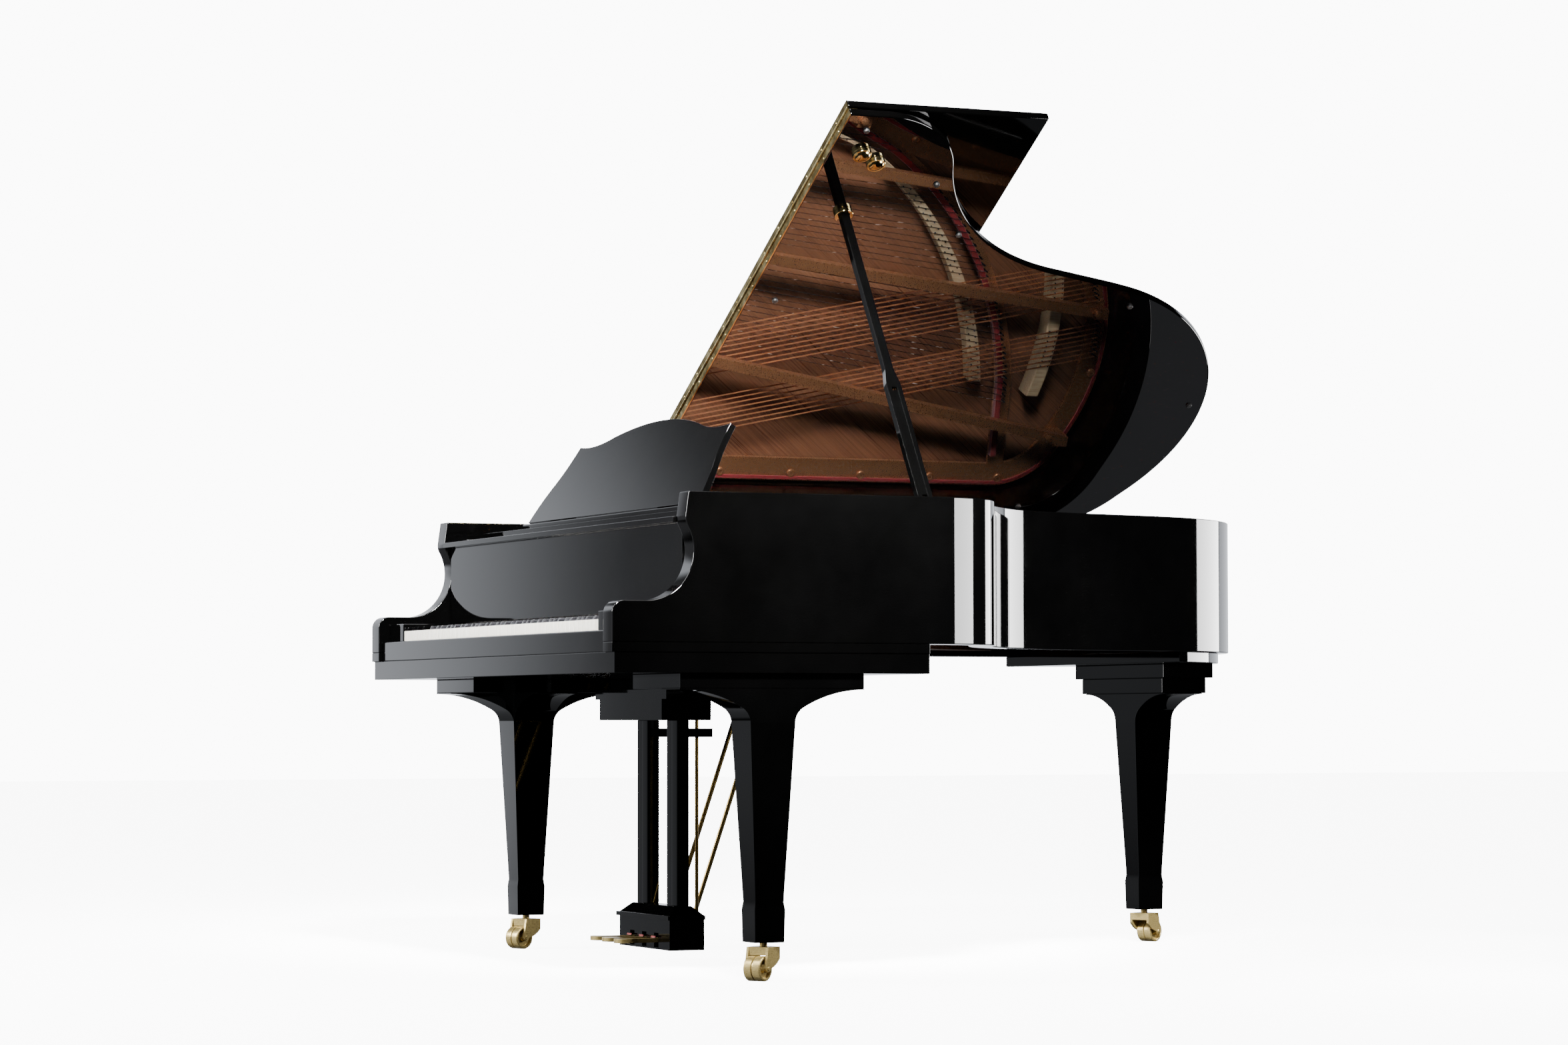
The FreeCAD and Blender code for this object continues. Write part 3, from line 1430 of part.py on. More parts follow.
def make_cups():
    """Make the three brass cups under the lid; the one in use is open where the prop leaves."""
    seat = SEAT_ALONG
    spare = seat + S.cup_step_along
    places = (
        (seat, PROP_BACK),
        (spare, PROP_BACK - S.cup_step_front),
        (spare - S.cup_pair_along, PROP_BACK - S.cup_step_front + S.cup_pair_back),
    )
    well = S.prop_top_half + S.cup_clearance * 2
    cups = []
    for index, (along, back) in enumerate(places):
        name = "cup_%d" % index
        boss = hang(lid_rod(name + "_boss", S.cup_radius, along, back, (-S.cup_height, 0)))
        start = seat - S.cup_radius * 2 if index == 0 else along - well
        hollow = lid_box(name + "_well", (start, along + well), (back - well, back + well),
                         (-S.cup_height - S.cut_over, -S.cup_floor))
        cups.append(cut(name, boss, [hang(hollow)]))
    node(group("lid_cups", cups), "lid_cups")


def make_props():
    """Make the long prop, the short prop in its slot and the bracket that carries them."""
    low, top = S.prop_low_half, S.prop_top_half
    shoulder = S.prop_low_length + S.prop_shoulder
    bend = S.prop_low_length + S.prop_shoulder / 2
    middle = (low + top) / 2
    radius = S.prop_shoulder_radius
    outline = [
        (-low, -S.prop_foot),
        (low, -S.prop_foot),
        (low, S.prop_low_length),
        (middle, bend, radius),
        (top, shoulder, -radius),
        (top, PROP_LENGTH),
        (-top, PROP_LENGTH),
        (-top, shoulder),
        (-middle, bend, -radius),
        (-low, S.prop_low_length, radius),
    ]
    half = S.prop_wall / 2
    stick = prism_x("prop_stick", outline, -half, half)
    slot_loop = [
        (-S.slot_half, S.slot_start),
        (S.slot_half, S.slot_start),
        (S.slot_half, S.slot_end),
        (-S.slot_half, S.slot_end),
    ]
    slot = prism_x("prop_slot", slot_loop, -S.prop_wall, S.prop_wall)
    for piece in (stick, slot):
        stand(piece)
    eye = S.prop_pin + S.running_fit
    bore = rod_y("prop_bore", eye, PROP_BACK - low * 2, PROP_BACK + low * 2, PROP_SIDE, PROP_UP)
    short_side = PROP_SIDE - S.short_pivot * sine(S.lid_angle)
    short_up = PROP_UP + S.short_pivot * cosine(S.lid_angle)
    pin = rod_y("short_pin", S.short_pin, PROP_BACK - low, PROP_BACK + low, short_side, short_up)
    node(fuse("prop_long", [cut("prop_slotted", stick, [slot, bore]), pin]), "prop_long")
    short_loop = [
        (-S.short_half, S.short_start),
        (S.short_half, S.short_start),
        (S.short_half, S.short_pivot + S.short_top),
        (-S.short_half, S.short_pivot + S.short_top),
    ]
    short = stand(prism_x("short_stick", short_loop, -S.short_wall / 2, S.short_wall / 2))
    short_bore = rod_y("short_bore", S.short_pin + S.running_fit, PROP_BACK - low, PROP_BACK + low,
                       short_side, short_up)
    node(cut("prop_short", short, [short_bore]), "prop_short")
    make_prop_bracket()


def stand(thing):
    """Turn a piece that was made about the prop's pivot square to the open lid."""
    return place(thing, PROP_SIDE, PROP_BACK, PROP_UP, (0, -1, 0), S.lid_angle)


def make_prop_bracket():
    """Make the brass bracket on the rim, with two ears and the prop's pin."""
    near = S.prop_low_half + S.bracket_gap
    far = near + S.bracket_ear
    wall = HALF
    heights = (PROP_UP - S.bracket_low, PROP_UP + S.bracket_high)
    pieces = []
    for index, (front, back) in enumerate(mirrored_spans(near, far)):
        depths = (PROP_BACK + front, PROP_BACK + back)
        pieces.append(box("bracket_ear_%d" % index, (PROP_SIDE - S.bracket_half, wall), depths, heights))
    base_depths = (PROP_BACK - far, PROP_BACK + far)
    base_top = PROP_UP - S.prop_foot * 2
    base = box("bracket_base", (PROP_SIDE - S.bracket_half, wall), base_depths, (heights[0], base_top))
    pin = rod_y("bracket_pin", S.prop_pin, PROP_BACK - far, PROP_BACK + far, PROP_SIDE, PROP_UP)
    solid = fuse("bracket_solid", pieces + [base, pin])
    space = slab("bracket_space", S.rim_wall + S.side_fit, BELLY_FRONT, S.strut_bottom, RIM_TOP)
    node(shared("prop_bracket", solid, space), "prop_bracket")


# Legs and casters

def bracket_arcs(reach, rise):
    """Return the two radii and the joint of the hollow curve under a leg's bracket."""
    turn_cos, turn_sin = cosine(S.bracket_turn), sine(S.bracket_turn)
    share = 1 - turn_sin - turn_cos
    tight = (reach * (1 - turn_sin) - rise * turn_cos) / share
    wide = (rise * (1 - turn_cos) - reach * turn_sin) / share
    return tight, wide, tight * (1 - turn_cos), tight * turn_sin


def bracket_loop(reach, rise, sides):
    """Return a bracket's loop with a hollow curve on one side or on both."""
    half = S.leg_top / 2
    bottom = S.leg_bracket_bottom
    curve_top = bottom + rise
    top = curve_top + S.bracket_lip
    tight, wide, joint_out, joint_up = bracket_arcs(reach, rise)
    loop = [(half, bottom)]
    if "right" in sides:
        loop += [
            (half + joint_out, bottom + joint_up, -tight),
            (half + reach, curve_top, -wide),
            (half + reach, top),
        ]
    else:
        loop += [(half, top)]
    if "left" in sides:
        loop += [
            (-half - reach, top),
            (-half - reach, curve_top),
            (-half - joint_out, bottom + joint_up, -wide),
            (-half, bottom, -tight),
        ]
    else:
        loop += [(-half, top), (-half, bottom)]
    return loop


def make_leg(label, side, back, brackets):
    """Make a leg with its brackets, tapered post, flared foot and the bore for the caster."""
    half = S.leg_top / 2
    neck = S.leg_neck / 2
    foot = S.foot_width / 2
    base = S.foot_base / 2
    flare = S.foot_top - S.foot_flare
    pieces = brackets + [
        taper(label + "_post", (neck, neck), (half, half), S.foot_top, S.leg_bracket_bottom),
        taper(label + "_flare", (foot, foot), (neck, neck), flare, S.foot_top),
        taper(label + "_foot", (base, base), (foot, foot), S.leg_bottom, flare),
    ]
    for piece in pieces:
        moved(piece, side, back)
    solid = fuse(label + "_solid", pieces)
    depth = S.stem_depth + S.side_fit
    bore = rod(label + "_bore", S.stem_radius + S.running_fit, depth, side, back, S.leg_bottom)
    node(cut(label, solid, [bore]), label)


def tail_slab(label, inset, front, heights):
    """Make the tail end of a slab with the case outline."""
    whole = slab(label + "_whole", inset, BELLY_FRONT, *heights)
    reach = box(label + "_reach", (-HALF, HALF), (front, front + S.case_width), heights)
    return shared(label, whole, reach)


def make_legs():
    """Make the three legs and the blocks that carry them."""
    half = S.leg_top / 2
    for label, side, inward in (("left", -LEG_SIDE, "right"), ("right", LEG_SIDE, "left")):
        label = "front_leg_" + label
        both = bracket_loop(S.bracket_reach, S.bracket_rise, ("left", "right"))
        one = bracket_loop(S.bracket_reach, S.bracket_rise, (inward,))
        brackets = [
            prism_x(label + "_fore_bracket", both, -half, half),
            prism_y(label + "_side_bracket", one, -half, half),
        ]
        make_leg(label, side, S.leg_back, brackets)
    rear_loop = bracket_loop(S.rear_reach, S.rear_rise, ("left", "right"))
    rear_bracket = prism_y("rear_leg_bracket", rear_loop, -half, half)
    make_leg("rear_leg", REAR_LEG_SIDE, REAR_LEG_BACK, [rear_bracket])
    reach = half + S.bracket_reach
    depths = (S.leg_back - reach, S.leg_back + reach)
    far = HALF - S.leg_inset
    near = far - S.leg_top - S.bracket_reach
    heights = (BRACKET_TOP, LEG_PLATE_TOP)
    band_bottom = S.rim_bottom - S.rear_band_height
    plate_top = REAR_TOP + S.rear_plate_height
    band_front = REAR_LEG_BACK - S.rear_band_reach
    rear = half + S.rear_reach
    rear_sides = (REAR_LEG_SIDE - rear, REAR_LEG_SIDE + rear)
    rear_depths = (REAR_LEG_BACK - S.rear_plate_depth, REAR_LEG_BACK + S.rear_plate_depth)
    block_sides = (REAR_LEG_SIDE - S.rear_block_side, REAR_LEG_SIDE + S.rear_block_side)
    block_depths = (REAR_LEG_BACK - S.rear_block_depth, REAR_LEG_BACK + S.rear_block_depth)
    blocks = [
        box("leg_plate_left", (-far, -near), depths, heights),
        box("leg_plate_right", (near, far), depths, heights),
        tail_slab("rear_band", S.rear_band_inset, band_front, (band_bottom, S.rim_bottom)),
        box("rear_block", block_sides, block_depths, (plate_top, band_bottom)),
        box("rear_plate", rear_sides, rear_depths, (REAR_TOP, plate_top)),
    ]
    node(group("leg_blocks", blocks), "leg_blocks")


def make_caster(name, side, back, turn):
    """Make a caster: a brass fork on a stem, and twin wheels on its axle."""
    span = FORK_SPAN
    outer = span + S.fork_wall
    half, top = S.fork_half, S.fork_top
    lobe, axle_up = S.fork_lobe, S.wheel_radius
    trail = S.trail
    plate = [
        (-half, S.fork_heel),
        (trail - lobe, axle_up, S.fork_heel_radius),
        (trail + lobe, axle_up, lobe + S.side_fit),
        (half, top),
        (-half, top),
    ]
    fork_label = "caster_fork_" + name
    crown_low = axle_up + S.wheel_radius + S.fork_gap
    axle_end = outer + S.axle_proud
    fork = [
        prism_x(fork_label + "_left", plate, -outer, -span),
        prism_x(fork_label + "_right", plate, span, outer),
        box(fork_label + "_crown", (-outer, outer), (-half, half), (crown_low, top)),
        rod(fork_label + "_stem", S.stem_radius, S.leg_bottom + S.stem_depth - top, 0, 0, top),
        rod_x(fork_label + "_axle", S.axle_radius, -axle_end, axle_end, trail, axle_up),
    ]
    wheels = []
    for sign, label in ((-1, "left"), (1, "right")):
        near = S.wheel_gap / 2
        far = near + S.wheel_width
        wheel_label = "caster_wheel_%s_%s" % (name, label)
        spans = (near, far) if sign > 0 else (-far, -near)
        rim = rod_x(wheel_label + "_rim", S.wheel_radius, spans[0], spans[1], trail, axle_up)
        inside, outside = far - S.wheel_recess, far + S.fork_gap
        dish = (inside, outside) if sign > 0 else (-outside, -inside)
        recess = cut(wheel_label + "_dish",
                     rod_x(wheel_label + "_recess", S.wheel_recess_radius, dish[0], dish[1], trail, axle_up),
                     [rod_x(wheel_label + "_hub", S.wheel_hub, dish[0], dish[1], trail, axle_up)])
        bore = rod_x(wheel_label + "_bore", S.axle_radius + S.running_fit, -far * 2, far * 2, trail, axle_up)
        wheels.append(cut(wheel_label, rim, [recess, bore]))
    for label, thing in ((fork_label, fuse(fork_label, fork)), ("caster_wheels_" + name,
                                                              group("caster_wheels_" + name, wheels))):
        swing(thing, side, back, turn)
        node(thing, label)


def swing(thing, side, back, turn):
    """Turn a caster's piece about its stem and set it under its leg."""
    side, back = numbers((side, back))
    rotation = FreeCAD.Rotation(FreeCAD.Vector(0, 0, 1), turn.value)
    thing.Placement = FreeCAD.Placement(FreeCAD.Vector(0, 0, 0), rotation)
    thing.setExpression("Placement.Rotation.Angle", turn.text)
    thing.setExpression("Placement.Base.x", (side + FRONT * sine(turn)).text)
    thing.setExpression("Placement.Base.y", (FRONT + back - FRONT * cosine(turn)).text)


def make_casters():
    """Make the three casters, each turned as it was last rolled."""
    make_caster("left", -LEG_SIDE, S.leg_back, S.caster_left_turn)
    make_caster("right", LEG_SIDE, S.leg_back, S.caster_right_turn)
    make_caster("rear", REAR_LEG_SIDE, REAR_LEG_BACK, S.caster_rear_turn)


# Lyre and pedals

def make_lyre():
    """Make the pedal lyre: head, posts, pedal box and the two braces behind it."""
    half, front, back = S.lyre_half, S.lyre_front, S.lyre_back
    low = S.lyre_bottom
    step = low + S.lyre_wall
    inset = S.lyre_step_in
    rail_half = S.rear_rail_half
    rail_top = S.rear_rail_bottom + S.rear_rail_wall
    post_back = S.post_front + S.post_depth
    rail_depths = (post_back, S.rear_rail_back)
    head = [
        box("lyre_block", (-half, half), (front, back), (low, step)),
        box("lyre_step_board", (-half - inset, half + inset), (front, back), (step, step + S.lyre_step)),
        box("lyre_top_board", (-half, half), (front + inset, back), (step + S.lyre_step, BED_BOTTOM)),
        box("rear_rail", (-rail_half, rail_half), rail_depths, (S.rear_rail_bottom, rail_top)),
        box("rear_rail_hanger", (-S.pedal_slot_half, S.pedal_slot_half), (post_back, back), (rail_top, low)),
    ]
    holes = []
    for index in range(3):
        side = S.pedal_pitch * (index - 1)
        holes.append(rod("rod_guide_%d" % index, S.rod_radius + S.rod_guide_fit, S.rear_rail_wall * 3, side,
                         S.rod_back, S.rear_rail_bottom - S.rear_rail_wall))
    node(cut("lyre_head", fuse("lyre_head_solid", head), holes), "lyre_head")
    box_top = S.box_bottom + S.box_body + S.box_ledge + S.box_cap
    bevel = S.post_chamfer
    posts = []
    for name, centre in (("left", -S.post_side), ("right", S.post_side)):
        left, right = centre - S.post_width / 2, centre + S.post_width / 2
        loop = [
            (left + bevel, S.post_front),
            (right - bevel, S.post_front),
            (right, S.post_front + bevel),
            (right, post_back),
            (left, post_back),
            (left, S.post_front + bevel),
        ]
        posts.append(prism_z("lyre_post_" + name, loop, box_top, low))
    node(group("lyre_posts", posts), "lyre_posts")
    make_pedal_box(box_top)
    start = S.box_back + S.lyre_brace_radius + S.side_fit
    rods = []
    for name, side in (("left", -S.lyre_brace_side), ("right", S.lyre_brace_side)):
        rods.append(rod("lyre_brace_" + name, S.lyre_brace_radius, S.lyre_brace_length, side, start,
                        S.lyre_brace_low, (-1, 0, 0), S.lyre_brace_angle))
    node(group("lyre_braces", rods), "lyre_braces")


def make_pedal_box(box_top):
    """Make the pedal box with its moulded top, three slots and the pedals' pin."""
    half, front, back = S.box_half, S.box_front, S.box_back
    body_top = S.box_bottom + S.box_body
    ledge_top = body_top + S.box_ledge
    out = S.box_ledge_out
    middle = (front + back) / 2
    deep = (back - front) / 2
    cap = taper("box_cap", (half, deep), (half - S.box_cap_in, deep - S.box_cap_in), ledge_top, box_top)
    body = fuse("pedal_box_solid", [
        box("box_body", (-half, half), (front, back), (S.box_bottom, body_top)),
        box("box_ledge", (-half - out, half + out), (front - out, back), (body_top, ledge_top)),
        moved(cap, 0, middle),
    ])
    slots = []
    for index in range(3):
        side = S.pedal_pitch * (index - 1)
        slots.append(box("pedal_slot_%d" % index, (side - S.pedal_slot_half, side + S.pedal_slot_half),
                         (front - S.cut_over, back + S.cut_over), (S.pedal_slot_low, S.pedal_slot_high)))
    pin = rod_x("pedal_pin", S.pedal_pin, -half, half, S.pedal_pivot_back, S.pedal_pivot_up)
    node(fuse("pedal_box", [cut("pedal_box_slotted", body, slots), pin]), "pedal_box")


def make_pedals():
    """Make the three brass pedals and the rods that they lift."""
    for index, name in enumerate(("left", "middle", "right")):
        side = S.pedal_pitch * (index - 1)
        narrow, head = S.pedal_half, S.pedal_head_half
        loop = [
            (side + narrow, S.pedal_rear),
            (side - narrow, S.pedal_rear),
            (side - narrow, S.pedal_neck),
            (side - head, S.pedal_head_back),
            (side + head, S.pedal_head_back, S.pedal_head_radius),
            (side + narrow, S.pedal_neck),
        ]
        lever = prism_z("pedal_lever_" + name, loop, PEDAL_UNDER, PEDAL_TOP)
        bore = rod_x("pedal_bore_" + name, S.pedal_pin + S.running_fit, side - head, side + head,
                     S.pedal_pivot_back, S.pedal_pivot_up)
        node(cut("pedal_" + name, lever, [bore]), "pedal_" + name)
        tip_up = PEDAL_TOP + S.rod_gap
        shoulder = tip_up + S.rod_tip
        top = BED_BOTTOM - S.rod_top_gap
        pieces = [
            rod("rod_tip_" + name, S.rod_tip_radius, S.rod_tip, side, S.rod_back, tip_up),
            rod("rod_bar_" + name, S.rod_radius, top - shoulder, side, S.rod_back, shoulder),
        ]
        node(fuse("pedal_rod_" + name, pieces), "pedal_rod_" + name)


def check_and_write():
    """Check every object, then write each sub-part to its own file."""
    DOC.recompute()
    for thing in DOC.Objects:
        if "Invalid" in thing.State or "Error" in thing.State:
            raise RuntimeError("%s did not build: %s" % (thing.Label, thing.State))
    for thing in NODES:
        if thing.Shape.isNull() or not thing.Shape.isValid() or not thing.Shape.Solids:
            raise RuntimeError("%s has no valid shape" % thing.Label)
    os.makedirs("parts", exist_ok=True)
    for thing in NODES:
        thing.Shape.exportStep("parts/%s.step" % thing.Label)
    print(len(NODES), "sub-parts written")


make_rims()
make_keybed()
make_structure()
make_soundboard()
make_plate()
make_strings()
make_action()
make_keys()
make_fallboard()
make_desk()
make_lid()
make_lid_hinges()
make_cups()
make_props()
make_legs()
make_casters()
make_lyre()
make_pedals()
check_and_write()
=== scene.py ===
"""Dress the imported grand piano: polished case, mirrored lid, strung plate, keyboard, lyre and casters."""
import json
import logging
import math
from dataclasses import dataclass
from enum import Enum
from typing import Dict, Iterable, List, Optional, Sequence, Tuple, Union

import bmesh
import bpy
from mathutils import Matrix, Vector


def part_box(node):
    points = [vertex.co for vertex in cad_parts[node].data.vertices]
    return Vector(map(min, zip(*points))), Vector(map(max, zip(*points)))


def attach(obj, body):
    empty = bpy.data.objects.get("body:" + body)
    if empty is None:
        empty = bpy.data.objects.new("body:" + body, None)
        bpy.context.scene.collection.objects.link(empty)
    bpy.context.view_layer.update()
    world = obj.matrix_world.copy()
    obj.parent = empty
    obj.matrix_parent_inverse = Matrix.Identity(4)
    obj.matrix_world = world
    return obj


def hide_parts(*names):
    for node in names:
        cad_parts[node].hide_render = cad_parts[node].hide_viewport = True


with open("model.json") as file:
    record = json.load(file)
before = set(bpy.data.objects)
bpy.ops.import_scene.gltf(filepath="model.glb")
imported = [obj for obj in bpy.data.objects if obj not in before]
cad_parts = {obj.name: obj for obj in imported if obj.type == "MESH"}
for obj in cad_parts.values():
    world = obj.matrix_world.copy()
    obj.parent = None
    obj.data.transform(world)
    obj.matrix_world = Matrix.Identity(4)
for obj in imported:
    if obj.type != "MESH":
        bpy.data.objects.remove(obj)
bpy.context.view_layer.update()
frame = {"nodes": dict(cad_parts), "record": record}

LOG = logging.getLogger("piano")
MM = 0.001
# FRONT is where the arms end along Y, and corners nearer than WELD count as one, both in metres
FRONT = -1.012
WELD = 2e-5
UP = Vector((0, 0, 1))
RIGHT = Vector((1, 0, 0))
AHEAD = Vector((0, -1, 0))
Plan = Tuple[float, float]
Place = Tuple[float, float, float]
Profile = Sequence[Plan]
Span = Tuple[Vector, Vector]
Arcs = Sequence[Sequence[float]]
Mesh = bmesh.types.BMesh
Tree = bpy.types.NodeTree
Socket = bpy.types.NodeSocket


def at(side: float, back: float, up: float) -> Vector:
    """Turn millimetres to the treble, behind the arms' fronts and over the floor into a place in metres."""
    return Vector((side * MM, FRONT + back * MM, up * MM))


# Finishes


class Pattern(Enum):
    """How a finish varies over a surface: a name and the detail of its noise."""

    CLOUD = ("cloud", 3.0)
    GRAIN = ("grain", 4.0)
    BRUSHED = ("brushed", 4.0)
    CAST = ("cast", 5.0)
    FELT = ("felt", 6.0)
    WOUND = ("wound", 0.0)

    @property
    def detail(self) -> float:
        """Return the detail of the pattern's noise."""
        return self.value[1]


@dataclass(frozen=True)
class Finish:
    """A real material: two colours, the size of its pattern and how it takes light.

    The colours are sRGB hex, and the pattern mixes them. Its size is along X, Y and Z, and its turn about Z
    in degrees. The roughness varies with it between two values, and bump_mm is the height of its relief.
    """

    name: str
    slot: str
    dark: str
    light: str
    pattern: Pattern
    size_mm: Place
    rough: Plan
    metallic: float = 0.0
    bump_mm: float = 0.0
    specular: float = 0.5
    coat: float = 0.0
    sheen: float = 0.0
    turn: float = 0.0


class Finishes:
    """The piano's materials."""

    # Polyester lacquer, sanded and buffed: a deep black that shows only what it mirrors.
    POLISHED = Finish("black_polyester", "black_polyester", "#010101", "#020202", Pattern.CLOUD,
                      (180, 180, 180), (0.02, 0.05))
    # The same lacquer under the lid, buffed further: a mirror for the plate and the strings.
    MIRROR = Finish("black_polyester_lid", "black_polyester", "#020202", "#060506", Pattern.CLOUD,
                    (260, 260, 260), (0.0, 0.02), specular=1.0)
    # Rubbed black lacquer: wide soft highlights.
    SATIN = Finish("satin_black_lacquer", "black_polyester", "#0a0a0b", "#121213", Pattern.CLOUD,
                   (60, 60, 60), (0.28, 0.4), bump_mm=0.02)
    # Moulded acrylic key tops: a warm white with a faint grain along the key, under a light gloss.
    IVORY = Finish("ivory_white_acrylic", "ivory_white", "#efe9d8", "#fbf8ee", Pattern.GRAIN,
                   (9, 120, 30), (0.12, 0.24), bump_mm=0.01, coat=0.2)
    # Sanded ebony: near black, with pores along the key that are drawn coarser than real.
    EBONY = Finish("ebony_black", "ebony_black", "#08080a", "#17171a", Pattern.GRAIN,
                   (2, 60, 4), (0.2, 0.34), bump_mm=0.03)
    # Brushed, lacquered brass: pale satin gold without sharp mirrors. Its lines are drawn coarser than real.
    BRASS = Finish("satin_brass", "brass", "#a48c50", "#cfba7c", Pattern.BRUSHED,
                   (6, 6, 0.8), (0.26, 0.36), metallic=0.65, bump_mm=0.006)
    # Drawn brass rod, darkened with age: brown gold, with streaks along it that are drawn coarser than real.
    BURNISHED = Finish("burnished_brass", "brass", "#54431f", "#86703c", Pattern.BRUSHED,
                       (5, 5, 20), (0.2, 0.3), metallic=0.9)
    # Buffed brass: bright gold that mirrors its surroundings.
    POLISHED_BRASS = Finish("polished_brass", "brass", "#b0924c", "#e9d79c", Pattern.CLOUD,
                            (30, 30, 30), (0.07, 0.16), metallic=1.0)
    # Cast iron under bronze lacquer: a warm metallic skin with the mould's grit, drawn coarser than real.
    BRONZE = Finish("bronze_lacquered_iron", "bronzed_iron", "#a8704a", "#c8926a", Pattern.CAST,
                    (2.4, 2.4, 2.4), (0.24, 0.36), metallic=0.75, bump_mm=0.04, coat=0.35)
    # Varnished spruce: close straight grain that runs askew over the soundboard.
    SPRUCE = Finish("varnished_spruce", "spruce", "#5c3a28", "#8a6046", Pattern.GRAIN,
                    (1.9, 240, 30), (0.25, 0.4), bump_mm=0.03, coat=0.4, turn=-38)
    # Varnished maple: brown wood with a long even grain, drawn coarser than real.
    MAPLE = Finish("varnished_maple", "rim_wood", "#6a4432", "#9c6e50", Pattern.GRAIN,
                   (3.2, 90, 3.2), (0.3, 0.48), bump_mm=0.05, coat=0.2, turn=90)
    # Planed bare maple: pale, dry and fine grained.
    PALE_MAPLE = Finish("pale_maple", "rim_wood", "#b59b78", "#dcc8a6", Pattern.GRAIN,
                        (2.4, 50, 2.4), (0.35, 0.5), bump_mm=0.04)
    # Drawn steel wire: thin bright lines.
    STEEL = Finish("string_steel", "string_steel", "#c6c8cc", "#f0f1f3", Pattern.BRUSHED,
                   (3, 40, 3), (0.16, 0.3), metallic=1.0)
    # Heat blued steel: dark blue grey with bright edges.
    BLUED = Finish("blued_steel", "string_steel", "#1b1f27", "#4a515e", Pattern.CLOUD,
                   (8, 8, 8), (0.2, 0.35), metallic=1.0)
    # Copper wire wound on steel: ribs across the string, drawn coarser than the real ones to show.
    COPPER = Finish("copper_winding", "copper_winding", "#9a5230", "#e2a072", Pattern.WOUND,
                    (40, 1.6, 40), (0.22, 0.36), metallic=1.0, bump_mm=0.2)
    # Pressed wool felts: dull, with soft light from the fibres at the edges. Their nap is coarser than real.
    RED_FELT = Finish("red_felt", "ebony_black", "#5c0a10", "#96161e", Pattern.FELT,
                      (1.6, 1.6, 1.6), (0.9, 1.0), bump_mm=0.35, specular=0.1, sheen=0.5)
    WHITE_FELT = Finish("white_wool_felt", "ivory_white", "#c9c2b2", "#eeeade", Pattern.FELT,
                        (1.4, 1.4, 1.4), (0.9, 1.0), bump_mm=0.3, specular=0.1, sheen=0.4)
    BLACK_FELT = Finish("black_felt", "ebony_black", "#0c0b0c", "#1b191a", Pattern.FELT,
                        (1.6, 1.6, 1.6), (0.9, 1.0), bump_mm=0.3, specular=0.1)
    # Moulded rubber: dull black.
    RUBBER = Finish("buffer_rubber", "ebony_black", "#0b0b0b", "#181818", Pattern.CLOUD,
                    (6, 6, 6), (0.5, 0.65), bump_mm=0.03)


def linear(code: str) -> Tuple[float, float, float, float]:
    """Turn an sRGB hex colour into linear light.

    Args:
        code: The colour as #rrggbb.

    Returns:
        Red, green, blue and alpha.
    """
    parts = [int(code[i:i + 2], 16) / 255 for i in (1, 3, 5)]
    lit = [c / 12.92 if c <= 0.04045 else ((c + 0.055) / 1.055) ** 2.4 for c in parts]
    return lit[0], lit[1], lit[2], 1.0


def add_node(tree: Tree, kind: str, inputs: Optional[dict] = None,
             **settings: object) -> bpy.types.Node:
    """Add a shader node.

    Args:
        tree: The node tree.
        kind: The node's type.
        inputs: Values or sockets for its inputs by name or number.
        settings: Properties of the node.

    Returns:
        The new node.
    """
    node = tree.nodes.new(kind)
    for name, value in settings.items():
        setattr(node, name, value)
    for key, value in (inputs or {}).items():
        if isinstance(value, Socket):
            tree.links.new(value, node.inputs[key])
        else:
            node.inputs[key].default_value = value
    return node


